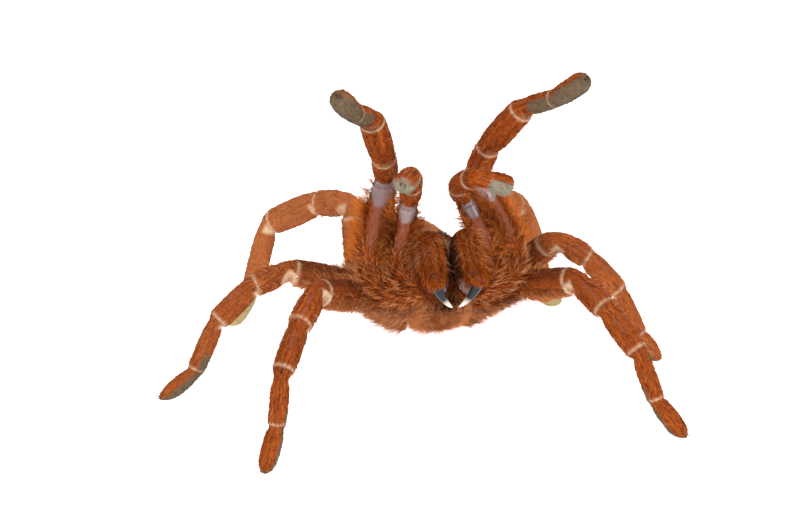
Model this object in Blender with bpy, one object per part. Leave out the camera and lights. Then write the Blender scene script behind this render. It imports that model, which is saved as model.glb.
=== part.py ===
"""A dried tarantula, set in its rearing threat posture and standing on its six hind feet.

Metres, +Z up, floor at z = 0. The spider faces -Y, so its own right side is at -X.
The front body (carapace, sternum and the roots of the limbs) is laid out in a tilted body frame:
"side" runs to the spider's left, "ahead" runs from its waist to its fangs, "above" leaves its back.
Each limb is one swept solid: a chain of segments with rounded bends and a narrow neck at every joint.
"""

import math

import bmesh
import bpy
from mathutils import Matrix, Vector

MM = 0.001

# Sizes of the whole, in millimetres and degrees
BODY_HEIGHT = 22.0
BODY_SETBACK = 0.5
BODY_PITCH = math.radians(45)
CARAPACE_LENGTH = 28.2
CARAPACE_WIDTH = 23.5
CARAPACE_DOME = 7.2
ABDOMEN_LENGTH = 33.5
ABDOMEN_WIDTH = 24.8
ABDOMEN_DEPTH = 23.0
ABDOMEN_CLEARANCE = 1.0
ABDOMEN_SWING = math.radians(5)
CHELICERA_LENGTH = 13.6
CHELICERA_WIDTH = 7.9
CHELICERA_DEPTH = 9.6
CHELICERA_DROOP = math.radians(-30)
FANG_LENGTH = 8.4
FIT_GAP = 0.3

# Moves the middle of the footprint to the origin
STAND_OFFSET = Vector((5.36, -6.89, 0.0))

# Facets round a limb, and round the bodies
LIMB_SIDES = 10
BODY_SIDES = 20

# Segment lengths from the hip outwards: femur, patella, tibia, metatarsus, tarsus
LEG_LENGTHS = {
    1: (20.5, 11.8, 13.9, 11.5, 9.5),
    2: (17.5, 10.2, 11.6, 11.4, 10.1),
    3: (15.3, 8.9, 11.0, 12.5, 9.8),
    4: (19.4, 11.3, 15.5, 16.5, 10.0),
}
# Femur, patella, tibia, tarsus: a pedipalp has no metatarsus
PALP_LENGTHS = (15.2, 9.0, 9.5, 8.3)

# Half thickness of the coxa, the trochanter and each segment after it
LEG_GIRTHS = {
    1: (2.65, 2.70, 2.80, 2.60, 2.75, 1.95, 2.15),
    2: (2.75, 2.85, 2.90, 2.65, 2.40, 1.90, 1.85),
    3: (2.75, 2.85, 2.80, 2.55, 2.45, 1.95, 1.80),
    4: (2.75, 2.95, 3.20, 3.00, 3.15, 2.45, 1.90),
}
PALP_GIRTHS = (2.1, 2.1, 2.20, 2.15, 2.20, 1.95)

# Body-frame places (side, ahead, above) of each coxa's root, its end and the hip, on the left side
LEG_ROOTS = {
    1: ((6.3, 6.9, -5.0), (13.6, 9.3, -3.2), (16.4, 10.6, 0.1)),
    2: ((7.2, 1.3, -5.4), (14.2, 2.9, -4.9), (17.6, 3.3, -3.1)),
    3: ((7.5, -4.3, -5.2), (14.4, -3.9, -2.6), (18.2, -3.6, 2.6)),
    4: ((5.8, -9.8, -4.8), (12.2, -10.3, -2.0), (15.3, -10.5, 3.8)),
}
PALP_ROOT = ((3.6, 11.4, -6.4), (8.7, 13.2, -4.4), (10.7, 12.9, -0.4))

# (heading, pitch) of each segment in degrees. Heading 0 is ahead and 90 is out to that limb's side.
# A planted leg's last pitch is left out: it follows from aiming the tip just under the floor.
LEG_POSES = {
    (1, "right"): ((223, 70), (13, 45), (28, 55), (27, 24), (32, 38)),
    (1, "left"): ((237, 59), (20, 58), (41, 50), (27, 26), (37, 38)),
    (2, "right"): ((45, 24), (31, -23), (30, -37), (40, -78), (30, None)),
    (2, "left"): ((37, 22), (31, -22), (39, -40), (64, -68), (51, None)),
    (3, "right"): ((86, 18), (81, -18), (77, -40), (76, -64), (75, None)),
    (3, "left"): ((50, 46), (86, -36), (80, -48), (98, -65), (104, None)),
    (4, "right"): ((178, 60), (137, -13), (127, -31), (61, -71), (70, None)),
    (4, "left"): ((160, 98), (141, -16), (125, -65), (145, -62), (145, None)),
}
PALP_POSES = {
    "right": ((255, 78), (4, 46), (13, 33), (20, 8)),
    "left": ((241, 63), (336, 42), (18, 30), (93, -21)),
}

# Swelling along a segment, as (share of its length, share of its girth)
SEGMENT_SWELL = ((0.0, 0.90), (0.25, 1.0), (0.65, 1.02), (1.0, 0.95))
ROOT_SWELL = ((0.0, 0.88), (0.5, 1.0), (1.0, 1.0))
TIP_SWELL = ((0.0, 0.88), (0.35, 1.0), (0.7, 1.0), (0.9, 0.80), (1.0, 0.45))
JOINT_NECK = 0.80
BEND_SLACK = 1.15
SOLE_SINK = 0.3

SKINS = {
    "velvet": ((0.42, 0.14, 0.04), 0.85),
    "abdomen_velvet": ((0.36, 0.17, 0.08), 0.9),
    "fang": ((0.02, 0.03, 0.04), 0.25),
}


def clear_scene():
    """Empties the file that the script runs in."""
    for item in list(bpy.data.objects):
        bpy.data.objects.remove(item)


def skin(name):
    """Returns the named finish as a material."""
    made = bpy.data.materials.get(name) or bpy.data.materials.new(name)
    made.use_nodes = True
    shader = made.node_tree.nodes["Principled BSDF"]
    colour, roughness = SKINS[name]
    shader.inputs["Base Color"].default_value = (*colour, 1.0)
    shader.inputs["Roughness"].default_value = roughness
    shader.inputs["Metallic"].default_value = 0.0
    return made


def body_point(side, ahead, above):
    """A place in the tilted body frame, as a place in the world, in millimetres."""
    c, s = math.cos(BODY_PITCH), math.sin(BODY_PITCH)
    return Vector((side, BODY_SETBACK + above * s - ahead * c, BODY_HEIGHT + ahead * s + above * c))


def direction(heading, pitch, flip):
    """The unit vector of a heading and a pitch in degrees; flip is -1 on the spider's right."""
    turn, rise = math.radians(heading), math.radians(pitch)
    level = math.cos(rise)
    return Vector((flip * math.sin(turn) * level, -math.cos(turn) * level, math.sin(rise)))


def finish(name, mesh, finish_name):
    """Turns a mesh in millimetres into the named object, in metres, shaded as a rounded thing."""
    bmesh.ops.recalc_face_normals(mesh, faces=mesh.faces)
    mesh.transform(Matrix.Scale(MM, 4) @ Matrix.Translation(STAND_OFFSET))
    data = bpy.data.meshes.new(name)
    mesh.to_mesh(data)
    mesh.free()
    data.materials.append(skin(finish_name))
    data.shade_smooth()
    data.set_sharp_from_angle(angle=math.radians(50))
    made = bpy.data.objects.new(name, data)
    bpy.context.scene.collection.objects.link(made)
    return made


def loft(rings):
    """Joins rings of points, all of one count, into a closed body with flat ends."""
    mesh = bmesh.new()
    loops = [[mesh.verts.new(point) for point in ring] for ring in rings]
    for near, far in zip(loops, loops[1:]):
        for i in range(len(near)):
            j = (i + 1) % len(near)
            mesh.faces.new((near[i], near[j], far[j], far[i]))
    mesh.faces.new(loops[0][::-1])
    mesh.faces.new(loops[-1])
    return mesh


def ring(centre, across, up, half_width, half_height, sides):
    """Points of an ellipse round centre, in the plane of across and up."""
    points = []
    for i in range(sides):
        turn = 2 * math.pi * i / sides
        points.append(
            centre + across * (half_width * math.cos(turn)) + up * (half_height * math.sin(turn))
        )
    return points


def limb_joints(roots, lengths, pose, flip):
    """Places of a limb's joints from the coxa's root to the tip, in millimetres."""
    places = [body_point(flip * side, ahead, above) for side, ahead, above in roots]
    for length, (heading, pitch) in zip(lengths, pose):
        start = places[-1]
        if pitch is None:
            pitch = -math.degrees(math.asin((start.z + SOLE_SINK) / length))
        places.append(start + direction(heading, pitch, flip) * length)
    return places


def hinge_axes(ways):
    """The sideways axis of each segment, given the segments' directions.

    From the femur on, all share the limb's own hinge axis, the sum of its bends; the coxa and the
    trochanter carry the femur's axis back without twist.
    """
    femur = 2
    hinge = Vector()
    for near, far in zip(ways[femur:], ways[femur + 1 :]):
        hinge += near.cross(far)
    axes = [(hinge - way * hinge.dot(way)).normalized() for way in ways]
    for i in reversed(range(femur)):
        axes[i] = ways[i + 1].rotation_difference(ways[i]) @ axes[i + 1]
    return axes


def limb(name, joints, girths):
    """Sweeps one limb along its joints, as one closed body."""
    ways = [(b - a).normalized() for a, b in zip(joints, joints[1:])]
    axes = hinge_axes(ways)
    bends = [near.angle(far) for near, far in zip(ways, ways[1:])]
    trims = [0.0]
    for bend, near, far in zip(bends, girths, girths[1:]):
        trims.append(max(near, far) * BEND_SLACK * math.tan(bend / 2) + 0.35)
    trims.append(0.0)

    rings = []
    last = len(ways) - 1
    for i, way in enumerate(ways):
        start = joints[i] + way * trims[i]
        end = joints[i + 1] - way * trims[i + 1]
        swell = TIP_SWELL if i == last else ROOT_SWELL if i < 2 else SEGMENT_SWELL
        up = way.cross(axes[i])
        for share, size in swell:
            half = girths[i] * size
            rings.append(ring(start.lerp(end, share), axes[i], up, half, half, LIMB_SIDES))
        if i < last:
            rings += bend_rings(end, way, ways[i + 1], axes[i : i + 2], trims[i + 1], girths[i : i + 2])
    return loft(rings)


def bend_rings(start, way, next_way, axes, trim, girths):
    """The rings of a joint's neck, on the arc that rounds the corner between two segments."""
    bend = way.angle(next_way)
    count = 1 if bend < math.radians(30) else 2 if bend < math.radians(60) else 3
    neck = min(girths) * JOINT_NECK
    if bend < math.radians(3):
        middle = start + way * trim
        return [ring(middle, axes[0], way.cross(axes[0]), neck, neck, LIMB_SIDES)]
    inward = (next_way - way * way.dot(next_way)).normalized()
    radius = trim / math.tan(bend / 2)
    rings = []
    for k in range(1, count + 1):
        share = k / (count + 1)
        turn = bend * share
        centre = start + way * (radius * math.sin(turn)) + inward * (radius * (1 - math.cos(turn)))
        along = way * math.cos(turn) + inward * math.sin(turn)
        across = axes[0].lerp(axes[1], share)
        across = (across - along * across.dot(along)).normalized()
        rings.append(ring(centre, across, along.cross(across), neck, neck, LIMB_SIDES))
    return rings


def stand_on_floor(mesh):
    """Cuts a planted foot off level with the floor, which leaves the flat sole it stands on."""
    everything = mesh.verts[:] + mesh.edges[:] + mesh.faces[:]
    cut = bmesh.ops.bisect_plane(
        mesh, geom=everything, plane_co=(0, 0, 0), plane_no=(0, 0, 1), clear_inner=True
    )
    rim = [item for item in cut["geom_cut"] if isinstance(item, bmesh.types.BMEdge)]
    bmesh.ops.contextual_create(mesh, geom=rim)


def make_legs():
    """The eight walking legs, each with its coxa."""
    for (pair, side), pose in LEG_POSES.items():
        flip = 1 if side == "left" else -1
        joints = limb_joints(LEG_ROOTS[pair], LEG_LENGTHS[pair], pose, flip)
        mesh = limb(f"leg_{pair}_{side}", joints, LEG_GIRTHS[pair])
        if pair > 1:
            stand_on_floor(mesh)
        finish(f"leg_{pair}_{side}", mesh, "velvet")


def make_palps():
    """The two pedipalps, whose coxae are the jaws beside the mouth."""
    for side, pose in PALP_POSES.items():
        flip = 1 if side == "left" else -1
        joints = limb_joints(PALP_ROOT, PALP_LENGTHS, pose, flip)
        finish(f"pedipalp_{side}", limb(f"pedipalp_{side}", joints, PALP_GIRTHS), "velvet")


def make_carapace():
    """The domed shield over the front body, with the raised head, the eye mound and a pit behind."""
    half_length, half_width = CARAPACE_LENGTH / 2, CARAPACE_WIDTH / 2
    rings = []
    bands = 6
    for band in range(bands + 1):
        rise = math.pi / 2 * band / (bands + 0.5)
        spread, lift = math.cos(rise), math.sin(rise)
        points = []
        for i in range(BODY_SIDES):
            turn = 2 * math.pi * i / BODY_SIDES
            ahead = half_length * math.cos(turn) * spread - 0.3
            # The outline narrows to the squared-off head in front
            taper = 1 - 0.30 * max(0.0, ahead / half_length) ** 1.5
            side = half_width * math.sin(turn) * spread * taper
            head = math.exp(-(((ahead - 9.0) / 6.0) ** 2) - (side / 7.0) ** 2)
            eyes = math.exp(-(((ahead - 11.3) / 1.7) ** 2) - (side / 2.0) ** 2)
            pit = math.exp(-(((ahead + 2.0) / 1.6) ** 2) - (side / 2.4) ** 2)
            # The front is blunt and high, the rear slopes down to the waist
            bluntness = lift ** (1 - 0.45 * max(0.0, math.cos(turn)))
            above = 1.3 + (CARAPACE_DOME - 2.0) * bluntness
            above += (2.6 * head + 1.3 * eyes - 1.2 * pit) * bluntness
            points.append(body_point(side, ahead, above))
        rings.append(points)
    finish("carapace", loft(rings), "velvet")


def make_sternum():
    """The underside of the front body: its soft flanks above, then the breast plate and the lip."""
    # (height above the body's middle, half width, half length)
    levels = (
        (1.0, 10.2, 12.8),
        (-0.3, 9.0, 12.3),
        (-1.8, 7.0, 11.4),
        (-3.2, 6.1, 10.9),
        (-5.4, 6.1, 10.9),
        (-7.2, 5.2, 9.6),
        (-8.0, 3.6, 7.2),
    )
    rings = []
    for above, half_width, half_length in levels:
        points = []
        for i in range(BODY_SIDES):
            turn = 2 * math.pi * i / BODY_SIDES
            ahead = half_length * math.cos(turn)
            side = half_width * math.sin(turn) * (1 - 0.22 * math.cos(turn))
            points.append(body_point(side, ahead - 0.3, above))
        rings.append(points)
    finish("sternum", loft(rings), "velvet")


def make_chelicerae():
    """The two jaws' heavy upper parts, each a deep egg that droops from under the head."""
    way = Vector((0, -math.cos(CHELICERA_DROOP), math.sin(CHELICERA_DROOP)))
    up = Vector((0, math.sin(CHELICERA_DROOP), math.cos(CHELICERA_DROOP)))
    across = Vector((1, 0, 0))
    # (share of the length, half width and half height against the largest, centre's rise in mm)
    shape = (
        (0.00, 0.72, 0.74, 0.0),
        (0.12, 0.90, 0.93, 0.0),
        (0.32, 1.00, 1.00, 0.0),
        (0.55, 1.00, 0.98, -0.1),
        (0.74, 0.93, 0.88, -0.3),
        (0.88, 0.78, 0.70, -0.6),
        (0.97, 0.54, 0.46, -0.9),
        (1.00, 0.30, 0.25, -1.0),
    )
    half_width = (CHELICERA_WIDTH - FIT_GAP) / 2
    for side, flip in (("left", 1), ("right", -1)):
        root = body_point(flip * CHELICERA_WIDTH / 2, 17.7, 3.5)
        rings = []
        for share, wide, high, rise in shape:
            centre = root + way * (CHELICERA_LENGTH * share) + up * rise
            half_height = CHELICERA_DEPTH / 2 * high
            rings.append(ring(centre, across, up, half_width * wide, half_height, 12))
        finish(f"chelicera_{side}", loft(rings), "velvet")


def make_fangs():
    """The fangs: tapering horns that curve down, back and in towards each other."""
    steps = 8
    for side, flip in (("left", 1), ("right", -1)):
        place = Vector((flip * 4.7, -23.4, 33.6))
        rings = []
        for i in range(steps + 1):
            share = i / steps
            dip = math.radians(84 + 38 * share)
            inward = math.radians(14 + 40 * share)
            way = Vector((-flip * math.sin(inward), -math.cos(dip), -math.sin(dip))).normalized()
            if i:
                place = place + way * (FANG_LENGTH / steps)
            across = way.cross(Vector((0, 1, 0))).normalized()
            thick = 1.2 * (1 - share) ** 0.75 + 0.14
            rings.append(ring(place, across, across.cross(way), thick, thick, 8))
        finish(f"fang_{side}", loft(rings), "fang")


def make_abdomen():
    """The soft hind body, swung a little to the right, with the narrow waist on its front end."""
    backward = Vector((-math.sin(ABDOMEN_SWING), math.cos(ABDOMEN_SWING), 0))
    across = Vector((math.cos(ABDOMEN_SWING), math.sin(ABDOMEN_SWING), 0))
    half_length = ABDOMEN_LENGTH / 2
    waist = body_point(0, -12.9, -3.2)
    centre = Vector((waist.x, waist.y, 0)) + backward * (half_length + 5.4)
    centre.z = ABDOMEN_CLEARANCE + ABDOMEN_DEPTH / 2
    rings = [
        ring(waist, across, Vector((0, 0, 1)), 1.5, 1.4, BODY_SIDES),
        ring(waist + backward * 4.4 - Vector((0, 0, 0.7)), across, Vector((0, 0, 1)), 1.7, 1.5, BODY_SIDES),
    ]
    for turn in (20, 36, 56, 78, 98, 118, 136, 152, 166, 176):
        angle = math.radians(turn)
        along = -math.cos(angle)
        swell = math.sin(angle) * (1 + 0.07 * along)
        place = centre + backward * (half_length * along)
        half_width = ABDOMEN_WIDTH / 2 * swell
        half_depth = ABDOMEN_DEPTH / 2 * swell
        rings.append(ring(place, across, Vector((0, 0, 1)), half_width, half_depth, BODY_SIDES))
    finish("abdomen", loft(rings), "abdomen_velvet")


def make_spinnerets():
    """The two long finger-like spinnerets, each of three joints."""
    for side, flip in (("left", 1), ("right", -1)):
        way = Vector((flip * 0.34, 1, 0.16)).normalized()
        root = Vector((flip * 2.1 - 3.4, 46.2, 9.4))
        across = way.cross(Vector((0, 0, 1))).normalized()
        rings = []
        for along, half in (
            (0.0, 1.05),
            (1.9, 1.15),
            (2.4, 0.85),
            (2.8, 1.0),
            (4.6, 1.0),
            (5.0, 0.72),
            (5.4, 0.85),
            (7.0, 0.62),
            (7.8, 0.25),
        ):
            rings.append(ring(root + way * along, across, across.cross(way), half, half, 8))
        finish(f"spinneret_{side}", loft(rings), "velvet")


clear_scene()
make_carapace()
make_sternum()
make_abdomen()
make_spinnerets()
make_chelicerae()
make_fangs()
make_palps()
make_legs()
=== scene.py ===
"""Looks of the dried tarantula in its threat posture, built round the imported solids.

Lengths are worked out in millimetres, in the solids' own frame, and become metres in the mesh.
The spider faces -Y, its own right is -X. The front body is laid out in a tilted frame of its own:
"side" runs to the spider's left, "ahead" from the waist to the jaws and "above" out of the back.
"""

import sys

import logging
import math
from dataclasses import dataclass, field
from enum import Enum
from typing import Optional, Sequence, Union

import bpy
import numpy as np
from mathutils import Matrix, Vector


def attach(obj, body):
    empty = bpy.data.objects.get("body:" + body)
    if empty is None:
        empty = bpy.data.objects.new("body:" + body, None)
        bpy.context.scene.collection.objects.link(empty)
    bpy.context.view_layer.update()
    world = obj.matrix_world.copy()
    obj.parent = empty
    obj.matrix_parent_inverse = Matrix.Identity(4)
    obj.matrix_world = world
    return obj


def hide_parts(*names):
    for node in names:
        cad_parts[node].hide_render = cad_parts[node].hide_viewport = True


Array = np.ndarray
Colour = tuple[float, float, float]

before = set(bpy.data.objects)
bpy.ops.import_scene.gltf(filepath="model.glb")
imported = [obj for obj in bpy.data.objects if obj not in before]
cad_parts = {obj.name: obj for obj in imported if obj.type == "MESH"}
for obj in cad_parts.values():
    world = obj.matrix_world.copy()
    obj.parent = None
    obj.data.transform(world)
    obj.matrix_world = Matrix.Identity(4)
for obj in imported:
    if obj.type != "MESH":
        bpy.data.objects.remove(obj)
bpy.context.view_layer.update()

LOG = logging.getLogger("tarantula")

MM = 0.001
STAND_OFFSET = np.array((5.36, -6.89, 0.0))
FLOOR_CLEARANCE = 0.03
HAIR_CLEARANCE = 0.15

# Body-frame places (side, ahead, above) of each coxa's root, its end and the hip, on the left side
LEG_ROOTS = {
    1: ((6.3, 6.9, -5.0), (13.6, 9.3, -3.2), (16.4, 10.6, 0.1)),
    2: ((7.2, 1.3, -5.4), (14.2, 2.9, -4.9), (17.6, 3.3, -3.1)),
    3: ((7.5, -4.3, -5.2), (14.4, -3.9, -2.6), (18.2, -3.6, 2.6)),
    4: ((5.8, -9.8, -4.8), (12.2, -10.3, -2.0), (15.3, -10.5, 3.8)),
}
PALP_ROOT = ((3.6, 11.4, -6.4), (8.7, 13.2, -4.4), (10.7, 12.9, -0.4))

# Femur, patella, tibia, metatarsus, tarsus; a palp has no metatarsus
LEG_LENGTHS = {
    1: (20.5, 11.8, 13.9, 11.5, 9.5),
    2: (17.5, 10.2, 11.6, 11.4, 10.1),
    3: (15.3, 8.9, 11.0, 12.5, 9.8),
    4: (19.4, 11.3, 15.5, 16.5, 10.0),
}
PALP_LENGTHS = (15.2, 9.0, 9.5, 8.3)

# Segment numbers, counted from the coxa
TROCHANTER, FEMUR, PATELLA, TIBIA = 1, 2, 3, 4

# Half thickness of the coxa, the trochanter and each segment after it
LEG_GIRTHS = {
    1: (2.65, 2.70, 2.80, 2.60, 2.75, 1.95, 2.15),
    2: (2.75, 2.85, 2.90, 2.65, 2.40, 1.90, 1.85),
    3: (2.75, 2.85, 2.80, 2.55, 2.45, 1.95, 1.80),
    4: (2.75, 2.95, 3.20, 3.00, 3.15, 2.45, 1.90),
}
PALP_GIRTHS = (2.1, 2.1, 2.20, 2.15, 2.20, 1.95)

# (heading, pitch) of each segment in degrees; a planted leg's last pitch follows from the floor
LEG_POSES = {
    (1, "right"): ((223, 70), (13, 45), (28, 55), (27, 24), (32, 38)),
    (1, "left"): ((237, 59), (20, 58), (41, 50), (27, 26), (37, 38)),
    (2, "right"): ((45, 24), (31, -23), (30, -37), (40, -78), (30, None)),
    (2, "left"): ((37, 22), (31, -22), (39, -40), (64, -68), (51, None)),
    (3, "right"): ((86, 18), (81, -18), (77, -40), (76, -64), (75, None)),
    (3, "left"): ((50, 46), (86, -36), (80, -48), (98, -65), (104, None)),
    (4, "right"): ((178, 60), (137, -13), (127, -31), (61, -71), (70, None)),
    (4, "left"): ((160, 98), (141, -16), (125, -65), (145, -62), (145, None)),
}
PALP_POSES = {
    "right": ((255, 78), (4, 46), (13, 33), (20, 8)),
    "left": ((241, 63), (336, 42), (18, 30), (93, -21)),
}

# Degrees that each raised limb's pad is turned round it
FRONT_PAD_ROLLS = {"right": 25.0, "left": -35.0}
PALP_PAD_ROLLS = {"right": 0.0, "left": -85.0}

SOLE_SINK = 0.3
BEND_SLACK = 1.15
STRAIGHT = 0.02

# Length of the limb that the hair counts are given for
USUAL_REACH = 90.0

# Body-frame places of the eye mound and the pit, and the left fang's root in the world
EYES_AHEAD = 11.3
PIT_AHEAD = -2.0
FANG_ROOT = (4.7, -23.4, 33.6)

# Angles round a piece at which its upper side and its underside lie
TOP = 0.5 * math.pi
UNDERSIDE = 1.5 * math.pi


class Side(Enum):
    """Which side of the spider a paired part is on; the value is the sign of its X."""

    LEFT = 1
    RIGHT = -1


class Mask(Enum):
    """The painted-on fields that every skin and every coat of hair carries."""

    PALE = "pale"
    PAD = "pad"
    BARE = "bare"
    # Dark carries the thing's own dark marks and also painted shade between limbs and on standing
    # femora.
    DARK = "dark"


def unit(vectors: Array) -> Array:
    """Scales each vector of an array to length one.

    Args:
        vectors: any array whose last axis is XYZ.

    Returns:
        The array of unit vectors.
    """
    return vectors / np.maximum(np.linalg.norm(vectors, axis=-1, keepdims=True), 1e-12)


def bump_curve(x: Array, centre: float, width: float) -> Array:
    """A bell of height one: e to the minus squared distance from centre, in widths."""
    return np.exp(-(((x - centre) / width) ** 2))


def ease(x: Array, start: float, end: float) -> Array:
    """Rises smoothly from 0 at start to 1 at end, as 3t squared minus 2t cubed."""
    t = np.clip((x - start) / (end - start), 0.0, 1.0)
    return t * t * (3.0 - 2.0 * t)


def round_turns(columns: int) -> Array:
    """Angles spread evenly round a ring: number * 2 pi / columns."""
    return np.arange(columns) * (2 * math.pi / columns)


def mound(ahead: Array, side: Array, centre: float, size: tuple[float, float]) -> Array:
    """A bell of height one on the body's plan.

    e to the minus the sum of the squared distances along and across, each in its own widths.

    Args:
        ahead: place along the body.
        side: place across it.
        centre: the bell's place along the body; it stands on the middle line.
        size: its widths along and across.

    Returns:
        Heights from 0 to 1.
    """
    along, across = size
    return np.exp(-(((ahead - centre) / along) ** 2) - (side / across) ** 2)


def on_grid(shape: tuple[int, int], *parts: Array) -> Array:
    """Spreads three coordinates over a grid and joins them into vectors.

    Args:
        shape: the grid's rows and columns.
        parts: the coordinates, each an array that can be spread over the grid.

    Returns:
        (rows, columns, 3) vectors.
    """
    return np.stack([np.broadcast_to(part, shape) for part in parts], axis=-1)


def streaks(turn: Array, along: Array, seed: int, finest: int = 15) -> Array:
    """Bands of light and dark hair that run along a surface and waver a little.

    The mean of eight sines of (whole number * turn + slope * along + phase), spread to about
    -1 to 1.

    Args:
        turn: (columns,) angle round the surface.
        along: (rows,) distance along it, in millimetres.
        seed: the seed of the waves.
        finest: how many bands go round at most.

    Returns:
        (rows, columns) levels.
    """
    random = np.random.default_rng(seed)
    level = np.zeros((len(along), len(turn)))
    for _ in range(8):
        bands = random.integers(4, finest)
        slope, phase = random.uniform(-0.55, 0.55), random.uniform(0, 2 * math.pi)
        level = level + np.sin(bands * turn[None, :] + slope * along[:, None] + phase)
    return level / 3.0


@dataclass(frozen=True)
class BodyFrame:
    """The tilted frame of the front body."""

    height: float = 22.0
    setback: float = 0.5
    pitch: float = math.radians(45)

    def turn(self, side: Array, ahead: Array, above: Array) -> Array:
        """Turns a body-frame vector into the world's axes.

        Args:
            side: part towards the spider's left.
            ahead: part towards its jaws.
            above: part out of its back.

        Returns:
            World vectors, XYZ in the last axis.
        """
        c, s = math.cos(self.pitch), math.sin(self.pitch)
        side, ahead, above = np.broadcast_arrays(side, ahead, above)
        return np.stack((side, above * s - ahead * c, ahead * s + above * c), axis=-1)

    def place(self, side: Array, ahead: Array, above: Array) -> Array:
        """Turns a body-frame place into the world's, before the stand offset."""
        return self.turn(side, ahead, above) + np.array((0.0, self.setback, self.height))


BODY = BodyFrame()


def heading_way(heading: float, pitch: float, side: Side) -> Array:
    """The unit vector of a heading and a pitch.

    Args:
        heading: degrees, 0 ahead and 90 out to the limb's own side.
        pitch: degrees above the level.
        side: the side that the limb is on.

    Returns:
        A world unit vector.
    """
    turn, rise = math.radians(heading), math.radians(pitch)
    level = math.cos(rise)
    return np.array((side.value * math.sin(turn) * level, -math.cos(turn) * level, math.sin(rise)))


def fang_start(side: Side) -> Array:
    """The world place of a fang's root, before the stand offset."""
    across, ahead, above = FANG_ROOT
    return np.array((side.value * across, ahead, above))


class Channel:
    """A shader value that Python's operators can work on."""

    def __init__(self, bench: "Bench", socket: bpy.types.NodeSocket) -> None:
        """Wraps one output socket of a material's tree."""
        self.bench = bench
        self.socket = socket

    def _math(self, operation: str, first: object, second: object) -> "Channel":
        """Adds one Math node.

        Args:
            operation: the node's operation.
            first: its first value or channel.
            second: its second value or channel.

        Returns:
            The node's result.
        """
        return self.bench.value("ShaderNodeMath", {"operation": operation}, {0: first, 1: second})

    def __add__(self, other: object) -> "Channel":
        """This plus other."""
        return self._math("ADD", self, other)

    def __radd__(self, other: object) -> "Channel":
        """Other plus this."""
        return self._math("ADD", other, self)

    def __sub__(self, other: object) -> "Channel":
        """This minus other."""
        return self._math("SUBTRACT", self, other)

    def __rsub__(self, other: object) -> "Channel":
        """Other minus this."""
        return self._math("SUBTRACT", other, self)

    def __mul__(self, other: object) -> "Channel":
        """This times other."""
        return self._math("MULTIPLY", self, other)

    def __rmul__(self, other: object) -> "Channel":
        """Other times this."""
        return self._math("MULTIPLY", other, self)

    def clamp(self) -> "Channel":
        """This, kept between 0 and 1."""
        return self.bench.value("ShaderNodeClamp", {}, {0: self})


Feed = Union[float, int, tuple, Channel]


class Bench:
    """One material's node tree, and the one way that nodes are put into it."""

    def __init__(self, name: str) -> None:
        """Starts a material that holds one Principled shader."""
        self.material = bpy.data.materials.new(name)
        self.material.use_nodes = True
        self.tree = self.material.node_tree
        self.shader = self.tree.nodes["Principled BSDF"]

    def node(self, kind: str, settings: dict, inputs: dict) -> bpy.types.Node:
        """Adds a node.

        Args:
            kind: the node's type.
            settings: its own settings, set first; "stops" fills a colour ramp.
            inputs: values or channels by socket name or number.

        Returns:
            The new node.
        """
        made = self.tree.nodes.new(kind)
        for key, setting in settings.items():
            if key == "stops":
                self._fill_ramp(made.color_ramp, setting)
            else:
                setattr(made, key, setting)
        for key, feed in inputs.items():
            self.feed(made.inputs[key], feed)
        return made

    def _fill_ramp(self, ramp: bpy.types.ColorRamp, stops: Sequence[tuple[float, Colour]]) -> None:
        """Sets a ramp's stops.

        Args:
            ramp: the ramp to fill.
            stops: places from 0 to 1 with their colours, in rising order.
        """
        while len(ramp.elements) < len(stops):
            ramp.elements.new(1.0)
        for element, (place, colour) in zip(ramp.elements, stops):
            element.position = place
            element.color = (*colour, 1.0)

    def feed(self, socket: bpy.types.NodeSocket, feed: Feed) -> None:
        """Gives a socket its value or its link.

        Args:
            socket: the input.
            feed: a number, a colour or a channel.
        """
        if isinstance(feed, Channel):
            self.tree.links.new(feed.socket, socket)
        elif isinstance(feed, tuple) and socket.type == "RGBA":
            socket.default_value = (*feed, 1.0)
        else:
            socket.default_value = feed

    def value(self, kind: str, settings: dict, inputs: dict, output: Union[int, str] = 0) -> Channel:
        """Adds a node and wraps one of its outputs."""
        return Channel(self, self.node(kind, settings, inputs).outputs[output])

    def field(self, name: str) -> Channel:
        """Reads one of the mesh's painted-on numbers."""
        return self.value("ShaderNodeAttribute", {"attribute_name": name}, {}, "Fac")

    def grain(self) -> Channel:
        """Reads the mesh's painted-on vector that follows the hair."""
        return self.value("ShaderNodeAttribute", {"attribute_name": "grain"}, {}, "Vector")

    def noise(self, vector: Channel, scale: float, detail: float = 3.0) -> Channel:
        """Noise from 0 to 1 on a vector."""
        inputs = {"Vector": vector, "Scale": scale, "Detail": detail}
        return self.value("ShaderNodeTexNoise", {}, inputs, 0)

    def ramp(self, channel: Channel, stops: Sequence[tuple[float, Colour]]) -> Channel:
        """Turns a number into a colour by stops."""
        return self.value("ShaderNodeValToRGB", {"stops": stops}, {0: channel}, 0)

    def blend(self, amount: Feed, below: Feed, over: Feed) -> Channel:
        """Lays one colour over another by an amount from 0 to 1."""
        inputs = {0: amount, 6: below, 7: over}
        return self.value("ShaderNodeMix", {"data_type": "RGBA"}, inputs, 2)

    def relief(self, height: Channel, strength: float, depth: float) -> None:
        """Feeds a height into the shader's normal.

        Args:
            height: the height, from 0 to 1.
            strength: how strongly it shows.
            depth: the height of one, in metres.
        """
        inputs = {"Strength": strength, "Distance": depth, "Height": height}
        self.feed(self.shader.inputs["Normal"], self.value("ShaderNodeBump", {}, inputs, "Normal"))

    def set(self, **sockets: Feed) -> None:
        """Sets the shader's own sockets by name, with underscores for spaces."""
        for name, feed in sockets.items():
            self.feed(self.shader.inputs[name.replace("_", " ")], feed)


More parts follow.
